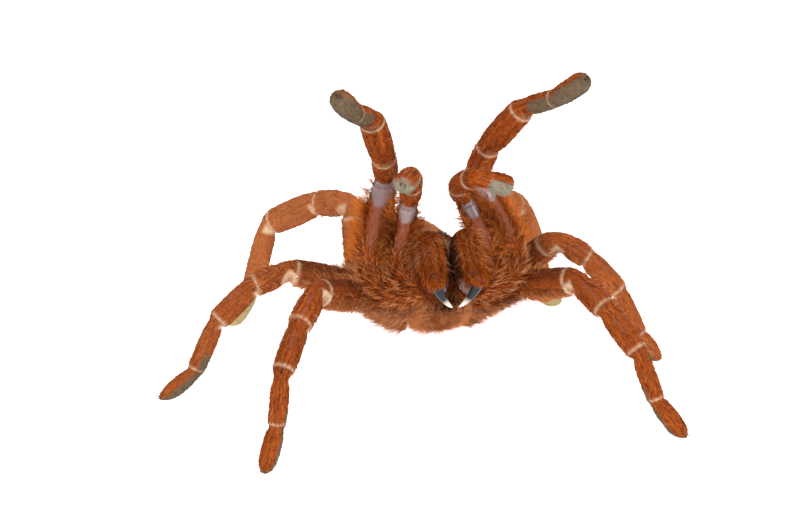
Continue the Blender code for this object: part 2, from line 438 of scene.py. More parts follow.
@dataclass(frozen=True)
class VelvetSkin:
    """The hard skin seen between the hairs: rust, with pale bands, bald patches and foot pads."""

    name: str
    shadow: Colour = (0.045, 0.010, 0.004)
    rust: Colour = (0.200, 0.039, 0.006)
    bright: Colour = (0.370, 0.090, 0.012)
    pale: Colour = (0.600, 0.460, 0.310)
    pad: Colour = (0.085, 0.059, 0.036)
    flesh: Colour = (0.165, 0.064, 0.044)
    lavender: Colour = (0.170, 0.122, 0.124)
    # Dark: the colour of the dark field, used for the thing's own dark marks and for painted shade
    # alike.
    dark: Colour = (0.030, 0.009, 0.005)
    fade: float = 0.0
    faded: Colour = (0.385, 0.142, 0.052)

    def build(self) -> bpy.types.Material:
        """Streaked rust from noise drawn out along the hair, then the painted fields over it."""
        bench = Bench(self.name)
        grain = bench.grain()
        place = bench.value("ShaderNodeTexCoord", {}, {}, "Object")
        strands = bench.noise(grain, 1.0, 4.0)
        patches = bench.noise(place, 160.0, 3.0)
        tone = (strands * 0.8 + patches * 0.4 + bench.field("tone") * 0.35 - 0.30).clamp()
        coat = bench.ramp(tone, ((0.15, self.shadow), (0.48, self.rust), (0.85, self.bright)))
        if self.fade > 0.0:
            coat = bench.blend(self.fade, coat, self.faded)
        coat = bench.blend((bench.field("dark") * (0.65 + strands * 0.5)).clamp(), coat, self.dark)
        bald = bench.field("bare")
        glossy = ((bald - 0.62) * 3.0).clamp()
        bald_tone = bench.blend(glossy, self.flesh, self.lavender)
        specks = (strands * 2.0 - 0.75).clamp() * (1.0 - glossy * 0.75)
        bald_tone = bench.blend(specks, bald_tone, self.rust)
        coat = bench.blend((bald * 1.7).clamp(), coat, bald_tone)
        coat = bench.blend((bench.field("pale") * (0.6 + strands * 0.8)).clamp(), coat, self.pale)
        coat = bench.blend(bench.field("pad"), coat, self.pad)
        rough = 0.80 - glossy * 0.46 - bald * 0.10
        bench.set(Base_Color=coat, Roughness=rough, Metallic=0.0, Specular_IOR_Level=0.06)
        bench.set(Coat_Weight=glossy * 0.9, Coat_Roughness=0.14)
        bench.relief(strands, 0.5, 0.00022)
        return bench.material


@dataclass(frozen=True)
class HairCoat:
    """The finish of hair: rust from root to tip, paler and darker by the hair and by the place; the
    near-black root is partly painted shade deep in the coat.
    """

    name: str
    # Near-black root stop: the darkest hairs' own colour, and painted shade deep in the dense coat
    # near the skin.
    root: Colour = (0.030, 0.007, 0.003)
    middle: Colour = (0.280, 0.046, 0.005)
    tip: Colour = (0.570, 0.160, 0.022)
    pale: Colour = (0.740, 0.560, 0.370)
    pad: Colour = (0.110, 0.076, 0.046)
    # Dark: the colour of the dark field, used for the thing's own dark marks and for painted shade
    # alike.
    dark: Colour = (0.018, 0.006, 0.004)
    fade: float = 0.0
    faded: Colour = (0.440, 0.170, 0.064)

    def build(self) -> bpy.types.Material:
        """Runs each hair through its own stretch of a dark-to-gold ramp, then tints it by field."""
        bench = Bench(self.name)
        tone = bench.field("tone")
        along = bench.field("tip")
        # Each hair darkens towards its root: painted shade of the dense coat.
        shade = (along * 0.40 + tone * 0.85 - 0.12).clamp()
        coat = bench.ramp(shade, ((0.04, self.root), (0.48, self.middle), (1.0, self.tip)))
        if self.fade > 0.0:
            coat = bench.blend(self.fade, coat, self.faded)
        coat = bench.blend(bench.field("pale") * 0.85, coat, self.pale)
        coat = bench.blend(bench.field("pad"), coat, self.pad)
        coat = bench.blend(bench.field("dark"), coat, self.dark)
        bench.set(Base_Color=coat, Roughness=0.6, Metallic=0.0)
        bench.set(Specular_IOR_Level=0.02)
        return bench.material


@dataclass(frozen=True)
class FangHorn:
    """Polished horn, slate-black at the root and ivory at the tip."""

    name: str = "fang_horn"
    slate: Colour = (0.004, 0.007, 0.009)
    ivory: Colour = (0.780, 0.700, 0.560)

    def build(self) -> bpy.types.Material:
        """Blends slate to ivory along the fang, with faint lengthwise growth lines."""
        bench = Bench(self.name)
        along = bench.field("tip")
        lines = bench.noise(bench.grain(), 1.0, 2.0)
        slate = bench.blend(lines * 0.8, self.slate, (0.009, 0.018, 0.023))
        reach = {"Value": along + lines * 0.10, "From Min": 0.62, "From Max": 0.90}
        whiteness = bench.value("ShaderNodeMapRange", {}, reach)
        colour = bench.blend(whiteness, slate, self.ivory)
        bench.set(Base_Color=colour, Roughness=0.32, Metallic=0.0, Specular_IOR_Level=0.12)
        bench.set(Coat_Weight=0.10, Coat_Roughness=0.10)
        bench.relief(lines, 0.12, 0.00008)
        return bench.material


@dataclass(frozen=True)
class EyeGlass:
    """The lens of an eye: black, wet and slightly mottled inside."""

    name: str = "eye_glass"

    def build(self) -> bpy.types.Material:
        """Near-black with a faint amber bloom from noise, under a clear coat."""
        bench = Bench(self.name)
        place = bench.value("ShaderNodeTexCoord", {}, {}, "Object")
        bloom = bench.noise(place, 900.0, 2.0)
        colour = bench.blend(bloom * 0.4, (0.006, 0.005, 0.005), (0.060, 0.024, 0.010))
        bench.set(Base_Color=colour, Roughness=0.06, Metallic=0.0)
        bench.set(Coat_Weight=0.8, Coat_Roughness=0.03)
        return bench.material


@dataclass(frozen=True)
class PaleBoard:
    """The plain pale board that the specimen stands on; it isn't part of the object."""

    name: str = "pale_board"

    def build(self) -> bpy.types.Material:
        """Near-white with a barely visible paper mottling."""
        bench = Bench(self.name)
        place = bench.value("ShaderNodeTexCoord", {}, {}, "Object")
        mottle = bench.noise(place, 40.0, 2.0)
        colour = bench.blend(mottle, (0.90, 0.90, 0.90), (0.93, 0.93, 0.925))
        bench.set(Base_Color=colour, Roughness=0.9, Metallic=0.0)
        bench.set(Emission_Color=(1.0, 1.0, 1.0), Emission_Strength=1.0)
        return bench.material


def mesh_object(
    name: str,
    points: Array,
    triangles: Array,
    fields: dict[str, Array],
    material: bpy.types.Material,
    stands_for: Sequence[str] = (),
) -> bpy.types.Object:
    """Puts arrays into a mesh object that rides on the part's one body.

    Args:
        name: the piece's name.
        points: vertex places in millimetres, before the stand offset.
        triangles: vertex numbers, three to a face, seen anticlockwise from outside.
        fields: painted-on numbers or vectors for each vertex, by name.
        material: the finish.
        stands_for: the solids that the piece replaces.

    Returns:
        The new object.
    """
    mesh = bpy.data.meshes.new(name)
    places = (points + STAND_OFFSET) * MM
    mesh.vertices.add(len(places))
    mesh.vertices.foreach_set("co", places.astype(np.float32).ravel())
    mesh.loops.add(triangles.size)
    mesh.loops.foreach_set("vertex_index", triangles.astype(np.int32).ravel())
    mesh.polygons.add(len(triangles))
    mesh.polygons.foreach_set("loop_start", np.arange(0, triangles.size, 3, dtype=np.int32))
    mesh.update(calc_edges=True)
    for key, values in fields.items():
        vector = values.ndim == 2
        layer = mesh.attributes.new(key, "FLOAT_VECTOR" if vector else "FLOAT", "POINT")
        layer.data.foreach_set("vector" if vector else "value", values.astype(np.float32).ravel())
    mesh.materials.append(material)
    mesh.shade_smooth()
    made = bpy.data.objects.new(name, mesh)
    bpy.context.scene.collection.objects.link(made)
    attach(made, "root")
    if stands_for:
        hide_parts(*stands_for)
    LOG.info("%s: %d triangles", name, len(triangles))
    return made


@dataclass
class Surface:
    """A closed surface on a grid: rows run along it, columns run round it.

    Attributes:
        points: (rows, columns, 3) places in millimetres.
        comb: (rows, columns, 3) the way that hair lies.
        grain: (rows, columns, 3) coordinates for streaks, one unit to a streak.
        masks: the painted-on fields, (rows, columns) each.
        streak: (rows, columns) lighter and darker bands of hair, about -1 to 1.
    """

    points: Array
    comb: Array
    grain: Array
    masks: dict[Mask, Array] = field(default_factory=dict)
    streak: Optional[Array] = None

    def __post_init__(self) -> None:
        """Spreads the comb and the painted-on fields over the whole grid."""
        self.comb = np.broadcast_to(self.comb, self.points.shape)
        self.paint(self.masks)

    def paint(self, fields: dict[Mask, Array]) -> None:
        """Sets the painted-on fields, spread over the grid and kept between 0 and 1."""
        shape = self.points.shape[:2]
        self.masks = {
            mask: np.clip(np.broadcast_to(level, shape), 0, 1) for mask, level in fields.items()
        }

    def mask(self, which: Mask) -> Array:
        """One painted-on field, zero where it was never painted."""
        return self.masks.get(which, np.zeros(self.points.shape[:2]))

    def banding(self) -> Array:
        """The bands of light and dark hair, level where none were laid out."""
        return np.zeros(self.points.shape[:2]) if self.streak is None else self.streak

    def outward(self) -> Array:
        """Unit normals: the cross product of the round and along differences, turned outward."""
        around = np.roll(self.points, -1, axis=1) - np.roll(self.points, 1, axis=1)
        along = np.gradient(self.points, axis=0)
        normals = unit(np.cross(around, along))
        centres = self.points.mean(axis=1, keepdims=True)
        if np.sum(normals * (self.points - centres)) < 0:
            normals = -normals
        return normals

    def faces(self) -> Array:
        """Two triangles to a cell, and a fan round one extra vertex at each end."""
        rows, columns = self.points.shape[:2]
        number = np.arange(rows * columns).reshape(rows, columns)
        a = number[:-1]
        b = np.roll(number, -1, axis=1)[:-1]
        c = np.roll(number, -1, axis=1)[1:]
        d = number[1:]
        cells = np.stack((a, b, c, a, c, d), axis=-1).reshape(-1, 3)
        first, last = rows * columns, rows * columns + 1
        near = np.stack((np.roll(number[0], -1), number[0], np.full(columns, first)), axis=-1)
        far = np.stack((number[-1], np.roll(number[-1], -1), np.full(columns, last)), axis=-1)
        triangles = np.concatenate((cells, near, far))
        around = np.roll(self.points, -1, axis=1) - self.points
        along = np.gradient(self.points, axis=0)
        outward = self.points - self.points.mean(axis=1, keepdims=True)
        if np.sum(np.cross(around, along) * outward) < 0:
            triangles = triangles[:, ::-1]
        return triangles

    def capped(self, values: Array) -> Array:
        """A field's rows as one list, with each end row's mean for the two end vertices."""
        flat = values.reshape(-1, *values.shape[2:])
        return np.concatenate((flat, values[:1].mean(axis=1), values[-1:].mean(axis=1)))

    def build(
        self,
        name: str,
        material: bpy.types.Material,
        slot: str,
        stands_for: Sequence[str] = (),
        extra: Optional[dict[str, Array]] = None,
    ) -> bpy.types.Object:
        """Makes the surface's object.

        Args:
            name: the piece's name.
            material: its finish.
            slot: not used.
            stands_for: the solids that it replaces.
            extra: more painted-on fields, each an array that can be spread over the grid.

        Returns:
            The new object.
        """
        fields = {mask.value: self.capped(self.mask(mask)) for mask in Mask}
        fields["grain"] = self.capped(self.grain)
        fields["tone"] = self.capped(0.5 + 0.5 * self.banding())
        for key, values in (extra or {}).items():
            fields[key] = self.capped(np.broadcast_to(values, self.points.shape[:2]))
        points = self.capped(self.points)
        return mesh_object(name, points, self.faces(), fields, material, stands_for)


@dataclass(frozen=True)
class Bristle:
    """One kind of hair.

    Attributes:
        count: how many grow on the piece.
        length: in millimetres.
        width: at the root, in millimetres.
        lift: degrees between the hair and the skin.
        stray: degrees that it strays to either side of the comb.
        curl: how far the tip bends back towards the skin, in lengths.
        tone: the middle of its shade, from 0 dark to 1 gold.
        bent: whether it has a middle ring, and so can bend.
        spread: how much the shade differs from hair to hair.
        banded: how much the shade follows the surface's bands.
    """

    count: int
    length: float
    width: float
    lift: float
    stray: float = 14.0
    curl: float = 0.15
    tone: float = 0.5
    bent: bool = False
    spread: float = 0.16
    banded: float = 0.20


@dataclass
class Tuft:
    """Hairs worked out as arrays, waiting to be joined into one piece."""

    points: Array
    triangles: Array
    fields: dict[str, Array]


SPIKE_FACES = np.array(((0, 2, 1), (0, 1, 3), (1, 2, 3), (2, 0, 3)))
BENT_FACES = np.array(
    (
        (0, 2, 1),
        (0, 1, 4),
        (0, 4, 3),
        (1, 2, 5),
        (1, 5, 4),
        (2, 0, 3),
        (2, 3, 5),
        (3, 4, 6),
        (4, 5, 6),
        (5, 3, 6),
    )
)


def spikes(
    roots: Array,
    ways: Array,
    normals: Array,
    lengths: Array,
    widths: Array,
    curl: float,
    bent: bool,
    fields: dict[str, Array],
) -> Tuft:
    """Thin closed three-sided spikes, bent once if asked.

    Each has a ring of three points at the root and, if bent, a smaller ring half way; the tip is
    root + length * (way + curl * (way laid flat on the skin - way)).

    Args:
        roots: (n, 3) places on the skin.
        ways: (n, 3) unit directions.
        normals: (n, 3) the skin's normals there.
        lengths: (n,) lengths.
        widths: (n,) root widths.
        curl: share of the direction that the tip gives up to lying flat.
        bent: whether to add the middle ring.
        fields: (n,) numbers to carry.

    Returns:
        The spikes as arrays.
    """
    across = unit(np.cross(ways, normals))
    over = np.cross(across, ways)
    turns = np.array((0.0, 2.0, 4.0)) * math.pi / 3 + math.pi / 2
    ring = (
        across[:, None, :] * np.cos(turns)[None, :, None]
        + over[:, None, :] * np.sin(turns)[None, :, None]
    )
    flat = unit(ways - normals * np.sum(ways * normals, axis=1, keepdims=True))
    tip_way = unit(ways * (1 - curl) + flat * curl - normals * curl * 0.3)
    half = widths[:, None, None] / 2
    sunk = roots - normals * 0.05
    rings = [sunk[:, None, :] + ring * half]
    heights = [np.zeros((len(roots), 3))]
    if bent:
        middle = roots + ways * lengths[:, None] * 0.5
        rings.append(middle[:, None, :] + ring * half * 0.72)
        heights.append(np.full((len(roots), 3), 0.5))
        tips = middle + tip_way * lengths[:, None] * 0.5
    else:
        tips = roots + unit(ways + tip_way) * lengths[:, None]
    points = np.concatenate(rings + [tips[:, None, :]], axis=1)
    points[..., 2] = np.maximum(points[..., 2], FLOOR_CLEARANCE)
    heights = np.concatenate(heights + [np.ones((len(roots), 1))], axis=1)
    faces = BENT_FACES if bent else SPIKE_FACES
    each = points.shape[1]
    triangles = faces[None] + (np.arange(len(roots)) * each)[:, None, None]
    carried = {key: np.repeat(values, each) for key, values in fields.items()}
    carried["tip"] = heights.ravel()
    return Tuft(points.reshape(-1, 3), triangles.reshape(-1, 3), carried)


class Groomer:
    """Grows hair on a surface, the same hair each run."""

    def __init__(self, surface: Surface, seed: int) -> None:
        """Takes the surface to grow on and the seed of its random numbers."""
        self.surface = surface
        self.random = np.random.default_rng(seed)
        self.normals = surface.outward()
        self.tufts: list[Tuft] = []

    def _scatter(self, count: int, density: Array) -> tuple[Array, Array, Array, Array]:
        """Picks places, cell by cell, in proportion to area times density.

        Args:
            count: how many.
            density: (rows, columns) how thickly hair grows.

        Returns:
            The cells' row and column numbers and the places' shares across each cell.
        """
        points = self.surface.points
        along = np.linalg.norm(np.diff(points, axis=0), axis=2)
        around = np.linalg.norm(np.roll(points, -1, axis=1) - points, axis=2)[:-1]
        weights = (along * around * np.clip(density[:-1], 0.0, None)).ravel()
        edges = np.cumsum(weights)
        picks = np.searchsorted(edges, self.random.random(count) * edges[-1])
        rows, columns = np.unravel_index(np.clip(picks, 0, len(weights) - 1), along.shape)
        return rows, columns, self.random.random(count), self.random.random(count)

    def _read(self, values: Array, spot: tuple[Array, Array, Array, Array]) -> Array:
        """A field's value at scattered places, weighed from each cell's four corners."""
        rows, columns, u, v = spot
        beside = (columns + 1) % values.shape[1]
        if values.ndim == 3:
            u, v = u[:, None], v[:, None]
        near = values[rows, columns] * (1 - v) + values[rows, beside] * v
        far = values[rows + 1, columns] * (1 - v) + values[rows + 1, beside] * v
        return near * (1 - u) + far * u

    def grow(
        self,
        kind: Bristle,
        density: Array,
        tint: Optional[dict[Mask, float]] = None,
        comb: Optional[Array] = None,
        aim: Optional[Array] = None,
    ) -> None:
        """Grows one kind of hair.

        Args:
            kind: the hair.
            density: how thickly it grows, an array that can be spread over the grid.
            tint: fields to set to one value on all of these hairs.
            comb: another comb than the surface's own, spread in the same way.
            aim: a place that every hair points at, in spite of the comb.
        """
        shape = self.surface.points.shape
        density = np.broadcast_to(density, shape[:2])
        count = kind.count
        if count == 0 or density.max() <= 0:
            return
        spot = self._scatter(count, density)
        roots = self._read(self.surface.points, spot)
        normals = unit(self._read(self.normals, spot))
        combed = self.surface.comb if comb is None else np.broadcast_to(comb, shape)
        lie = self._read(combed, spot)
        lie = unit(lie - normals * np.sum(lie * normals, axis=1, keepdims=True))
        stray = np.radians(self.random.normal(0.0, kind.stray, count))[:, None]
        lie = lie * np.cos(stray) + np.cross(normals, lie) * np.sin(stray)
        lift = np.radians(kind.lift * self.random.uniform(0.6, 1.4, count))[:, None]
        ways = unit(lie * np.cos(lift) + normals * np.sin(lift))
        if aim is not None:
            ways = unit(unit(aim - roots) + self.random.normal(0.0, 0.16, roots.shape))
        lengths = kind.length * self.random.uniform(0.6, 1.25, count)
        widths = kind.width * self.random.uniform(0.8, 1.2, count)
        banding = self._read(self.surface.banding(), spot) * kind.banded
        tone = kind.tone + banding + self.random.normal(0.0, kind.spread, count)
        tone = np.clip(tone, 0.0, 1.0)
        fields = {mask.value: self._read(self.surface.mask(mask), spot) for mask in Mask}
        fields["tone"] = tone
        for mask, level in (tint or {}).items():
            fields[mask.value] = np.full(count, level)
        above_floor = (roots + ways * lengths[:, None])[:, 2] > HAIR_CLEARANCE
        above_floor &= roots[:, 2] > HAIR_CLEARANCE
        kept = {key: values[above_floor] for key, values in fields.items()}
        self.tufts.append(
            spikes(
                roots[above_floor],
                ways[above_floor],
                normals[above_floor],
                lengths[above_floor],
                widths[above_floor],
                kind.curl,
                kind.bent,
                kept,
            )
        )

    def add(self, tuft: Tuft) -> None:
        """Adds spikes that are given ready-made, such as claws."""
        self.tufts.append(tuft)

    def build(self, name: str, material: bpy.types.Material, slot: str) -> bpy.types.Object:
        """Joins everything grown into one piece.

        Args:
            name: the piece's name.
            material: the hair's finish.
            slot: not used.

        Returns:
            The new object.
        """
        starts = np.cumsum([0] + [len(tuft.points) for tuft in self.tufts[:-1]])
        points = np.concatenate([tuft.points for tuft in self.tufts])
        triangles = np.concatenate(
            [tuft.triangles + start for tuft, start in zip(self.tufts, starts)]
        )
        keys = self.tufts[0].fields
        fields = {key: np.concatenate([tuft.fields[key] for tuft in self.tufts]) for key in keys}
        return mesh_object(name, points, triangles, fields, material)


@dataclass
class Spine:
    """A limb's middle line, ring by ring, with what each ring needs to know.

    Attributes:
        centre: (n, 3) ring centres.
        along: (n, 3) the way outwards along the limb.
        across: (n, 3) the hinge axis there.
        radius: (n,) half thickness.
        part: (n,) the segment's number, 0 for the coxa.
        share: (n,) how far along its segment, 0 to 1.
        turned: (n,) how far through a joint's bend, 0 to 1, and -1 on a segment.
        rim: (n,) 1 on the pale rim at a segment's end.
    """

    centre: Array
    along: Array
    across: Array
    radius: Array
    part: Array
    share: Array
    turned: Array
    rim: Array

    @property
    def joint(self) -> Array:
        """(n,) the square root of a half wave over each joint, 0 on a segment."""
        wave = np.sin(math.pi * np.clip(self.turned, 0.0, 1.0))
        return np.sqrt(np.clip(wave, 0.0, 1.0))

    @property
    def crease(self) -> Array:
        """(n,) 1 in the crease just past each segment's rim."""
        return bump_curve(self.turned, 0.08, 0.09)

    @property
    def back(self) -> Array:
        """(n, 3) the way out of the limb's upper side: along crossed with the hinge axis."""
        return np.cross(self.along, self.across)

    @property
    def travelled(self) -> Array:
        """(n,) distance from the root along the middle line."""
        steps = np.linalg.norm(np.diff(self.centre, axis=0), axis=1)
        return np.concatenate(([0.0], np.cumsum(steps)))


@dataclass
class Limb:
    """One leg or palp, from its coxa to its claws.

    Attributes:
        name: the solid's name.
        side: the side that it is on.
        roots: body-frame places of the coxa's root and end and of the hip.
        lengths: segment lengths from the femur outwards.
        girths: half thicknesses from the coxa outwards.
        pose: heading and pitch of each segment from the femur outwards.
        skin: the skin's finish.
        hair: the hair's finish.
        seed: the seed of its hair.
        raised: whether it is held up and shows its underside to the front.
        palp: whether it is a palp.
        hind: how far back the leg is, which makes it smoother and browner, 0 to 1.
        pad_roll: degrees that the foot's pad is turned round the limb.
        columns: points round the skin.
        step: distance between its rings, in millimetres.
    """

    name: str
    side: Side
    roots: tuple
    lengths: tuple
    girths: tuple
    pose: tuple
    skin: bpy.types.Material
    hair: bpy.types.Material
    seed: int
    raised: bool = False
    palp: bool = False
    hind: float = 0.0
    pad_roll: float = 0.0
    columns: int = 40
    step: float = 0.36

    @property
    def last(self) -> int:
        """The number of the tarsus."""
        return len(self.lengths) + TROCHANTER

    def joints(self) -> Array:
        """Places of the joints: each is the last one plus length times the segment's way."""
        places = [
            BODY.place(self.side.value * side, ahead, above) for side, ahead, above in self.roots
        ]
        for length, (heading, pitch) in zip(self.lengths, self.pose):
            start = places[-1]
            if pitch is None:
                pitch = -math.degrees(math.asin((start[2] + SOLE_SINK) / length))
            places.append(start + heading_way(heading, pitch, self.side) * length)
        return np.array(places)

    def hinges(self, ways: Array) -> Array:
        """The hinge axis of each segment.

        From the femur on it is the limb's own, the sum of its bends' cross products, squared up
        to each segment; the coxa and the trochanter carry the femur's back without twist.

        Args:
            ways: (segments, 3) unit directions.

        Returns:
            (segments, 3) unit axes.
        """
        total = np.cross(ways[FEMUR:-1], ways[FEMUR + 1 :]).sum(axis=0)
        axes = unit(total - ways * (ways @ total)[:, None])
        for i in (TROCHANTER, 0):
            turn = Vector(ways[i + 1]).rotation_difference(Vector(ways[i]))
            axes[i] = np.array(turn @ Vector(axes[i + 1]))
        return axes

    def spine(self) -> Spine:
        """Straight segments joined by arcs that round each corner, with a neck in each arc."""
        joints = self.joints()
        ways = unit(np.diff(joints, axis=0))
        axes = self.hinges(ways)
        bends = np.arccos(np.clip(np.sum(ways[:-1] * ways[1:], axis=1), -1, 1))
        girths = np.array(self.girths)
        widest = np.maximum(girths[:-1], girths[1:])
        trims = np.concatenate(([0.0], widest * BEND_SLACK * np.tan(bends / 2) + 0.35, [0.0]))
        runs: list[dict[str, Array]] = []
        for i, way in enumerate(ways):
            start = joints[i] + way * trims[i]
            end = joints[i + 1] - way * trims[i + 1]
            runs.append(self._segment_run(i, start, end, way, axes[i]))
            if i < self.last:
                runs.append(self._joint_run(i, end, ways, axes, bends[i], trims[i + 1]))
        joined = {key: np.concatenate([run[key] for run in runs]) for key in runs[0]}
        return Spine(**joined)

    def _segment_run(
        self, i: int, start: Array, end: Array, way: Array, axis: Array
    ) -> dict[str, Array]:
        """One segment's stretch of the spine.

        Rings lie closer near the ends, by a half wave. The radius is the girth times
        0.95 + 0.07 sin(pi * share), drawn in over the first
        millimetre and a half, with a raised rim at the outer end; the last segment is rounded
        off as an ellipse.

        Args:
            i: the segment's number.
            start: where it starts.
            end: where it ends.
            way: its direction.
            axis: its hinge axis.

        Returns:
            The spine's arrays for this stretch.
        """
        length = float(np.linalg.norm(end - start))
        even = np.linspace(0.0, 1.0, max(10, int(length / self.step)))
        share = 0.35 * even + 0.65 * (0.5 - 0.5 * np.cos(math.pi * even))
        to_end = (1.0 - share) * length
        radius = self.girths[i] * (0.95 + 0.07 * np.sin(math.pi * share))
        radius = radius * (0.92 + 0.08 * ease(share * length, 0.0, 1.6))
        if i < self.last:
            rim = bump_curve(to_end, 0.2, 0.42) if i >= FEMUR else 0.25 * bump_curve(to_end, 0.2, 0.5)
            radius = radius * (1 + 0.02 * rim)
        else:
            blunt, power = (0.78, 2.4) if self.raised else (0.45, 2.0)
            rounded = np.clip((share - blunt) / (1 - blunt), 0.0, 1.0)
            radius = radius * np.sqrt(np.clip(1 - 0.985 * rounded**power, 0.0, 1.0))
            rim = np.zeros_like(share)
        n = len(share)
        return {
            "centre": start + (end - start) * share[:, None],
            "along": np.broadcast_to(way, (n, 3)),
            "across": np.broadcast_to(axis, (n, 3)),
            "radius": radius,
            "part": np.full(n, i),
            "share": share,
            "turned": np.full(n, -1.0),
            "rim": rim,
        }

    def _joint_run(
        self, i: int, start: Array, ways: Array, axes: Array, bend: float, trim: float
    ) -> dict[str, Array]:
        """One joint's neck, on the arc between segment i and the next.

        Args:
            i: the nearer segment's number.
            start: where the arc starts.
            ways: all segments' directions.
            axes: all segments' hinge axes.
            bend: the angle between the two segments.
            trim: the distance from the arc's end to the corner.

        Returns:
            The spine's arrays for this stretch.
        """
        count = 4 + int(math.degrees(bend) / 9)
        share = np.linspace(0.0, 1.0, count + 2)[1:-1]
        way, next_way = ways[i], ways[i + 1]
        turn = (bend * share)[:, None]
        if bend < STRAIGHT:
            centre = start + way * (2 * trim * share)[:, None]
            along = np.broadcast_to(way, (count, 3))
        else:
            inward = unit(next_way - way * (way @ next_way))
            radius = trim / math.tan(bend / 2)
            centre = start + way * (radius * np.sin(turn)) + inward * (radius * (1 - np.cos(turn)))
            along = way * np.cos(turn) + inward * np.sin(turn)
        across = axes[i] * (1 - share)[:, None] + axes[i + 1] * share[:, None]
        across = unit(across - along * np.sum(across * along, axis=1, keepdims=True))
        near, far = 0.95 * self.girths[i], 0.874 * self.girths[i + 1]
        first_step = 1 - 0.05 * ease(share, 0.0, 0.15) * (1 - ease(share, 0.55, 1.0))
        neck = (near + (far - near) * ease(share, 0.0, 0.7)) * first_step
        return {
            "centre": centre,
            "along": along,
            "across": across,
            "radius": neck,
            "part": np.full(count, i),
            "share": np.ones(count),
            "turned": share,
            "rim": np.zeros(count),
        }

    def surface(self, spine: Spine, turn: Array) -> Surface:
        """The limb's skin: rings on the spine, each an ellipse with the foot's pad swollen below.

        A point is centre + radius * (wide * cos(turn) * across + tall * sin(turn) * back).

        Args:
            spine: the limb's spine.
            turn: (columns,) angle round the limb.

        Returns:
            The painted surface.
        """
        tarsus = (spine.part == self.last).astype(float)
        foot = tarsus + 0.6 * (spine.part == self.last - 1)
        below = np.clip(-np.sin(turn), 0.0, 1.0)[None, :]
        femur = (spine.part == FEMUR).astype(float)
        tall = 1.0 + 0.05 * femur - 0.04 * tarsus
        wide = 1.0 - 0.03 * femur + 0.10 * tarsus
        swollen = 1.0 + 0.06 * below * foot[:, None]
        slit = bump_curve(np.cos(turn), 0.0, 0.22) * (np.sin(turn) < 0.3)
        cleft = 1.0 - 0.16 * (tarsus * ease(spine.share, 0.78, 1.0))[:, None] * slit
        radius = spine.radius[:, None] * swollen * cleft
        out = (
            spine.across[:, None, :] * (wide[:, None] * np.cos(turn))[..., None]
            + spine.back[:, None, :] * (tall[:, None] * np.sin(turn))[..., None]
        )
        points = spine.centre[:, None, :] + out * radius[..., None]
        points[..., 2] = np.maximum(points[..., 2], FLOOR_CLEARANCE)
        around = spine.radius[:, None] / 0.20
        lengthwise = (spine.travelled / 1.7)[:, None]
        grain = on_grid(points.shape[:2], np.cos(turn) * around, np.sin(turn) * around, lengthwise)
        bands = streaks(turn, spine.travelled, self.seed, 18) * (0.6 - 0.5 * self.hind)
        surface = Surface(points, spine.along[:, None, :], grain, streak=bands)
        self._paint(surface, spine, turn)
        return surface

    def _paint(self, surface: Surface, spine: Spine, turn: Array) -> None:
        """Paints the limb's bands, bald stripes, foot pads and darker upper femur (partly painted
        shade), and painted shade between limbs.

        Args:
            surface: the surface to paint.
            spine: the limb's spine.
            turn: (columns,) angle round the limb, a quarter turn being its upper side.
        """
        part, share = spine.part[:, None], spine.share[:, None]
        under = np.clip(-np.sin(turn), 0, 1)[None, :]
        over = np.clip(np.sin(turn), 0, 1)[None, :]
        rim = spine.rim[:, None] * (0.48 - 0.10 * over)
        joint = spine.joint[:, None]
        femur = (part == FEMUR) * 1.0
        soft = ((part == PATELLA) | (part == TIBIA)) * (0.1 if self.raised else 0.7)
        rim = rim * (1 - 0.9 * femur * self.raised)
        pale = rim * (part >= FEMUR) + joint * soft * ease(under, 0.10, 0.55)
        pale = pale + self._membrane(spine, turn) * (1 - 0.4 * self.hind)
        tip = (part == self.last) * ease(share, 0.86, 0.97)
        pad = np.maximum(self._pad(spine, turn), tip * 0.8) * (1 - rim)
        stripe = bump_curve(turn[None, :], UNDERSIDE, 0.50)
        if self.raised:
            patch = self._knee_patch(spine, under)
            bare = femur * np.maximum(0.55 * stripe * ease(share, 0.12, 0.3), patch)
        else:
            bare = 0.50 * self._lines(spine, turn)
        # Darker upper side of a standing leg's femur, fading out at the knee: partly its own dark
        # brown, partly painted shade.
        top = ease(np.sin(turn)[None, :], -0.15, 0.8) * (1 - ease(spine.turned[:, None], 0.0, 0.4))
        dark = femur * top * 0.62 * (not self.raised) * (1 - 0.6 * self.hind)
        root = part < FEMUR
        dark = dark + 0.18 * root + 0.4 * joint**3 * root * (0.4 + 0.6 * under)
        # Painted shade: on raised limbs the coxa, trochanter and most of the femur are darkened on
        # the side facing the body's middle, and on both sides for a palp, where shade falls between
        # neighbouring limbs and jaws.
        facing = surface.outward()[..., 0]
        between = ease(np.abs(facing) if self.palp else -self.side.value * facing, 0.50, 0.92)
        between = between * (part <= FEMUR) * (1 - femur * ease(share, 0.6, 0.95)) * self.raised
        dark = dark + 0.78 * between
        dark = np.maximum(dark, 0.75 * spine.crease[:, None] * (part >= PATELLA))
        pale = pale + 0.14 * root * ease(under, 0.4, 1.0) * (not self.raised)
        dark = dark * (1 - rim)
        surface.paint({Mask.PALE: pale, Mask.PAD: pad, Mask.BARE: bare, Mask.DARK: dark})

    def _pad(self, spine: Spine, turn: Array) -> Array:
        """The foot's dense pad: the lower side of the tarsus and of the metatarsus's end.

        Args:
            spine: the limb's spine.
            turn: (columns,) angle round the limb.

        Returns:
            (rows, columns) levels from 0 to 1.
        """
        part, share = spine.part[:, None], spine.share[:, None]
        side = ease(-np.sin(turn - math.radians(self.pad_roll)), -0.35, 0.05)[None, :]
        start = 0.1 if self.raised else 0.45
        before = (part == self.last - 1) * ease(share, start, start + 0.3) * side**3
        return side * (part == self.last) + before * (not self.palp) * (self.hind < 0.5)

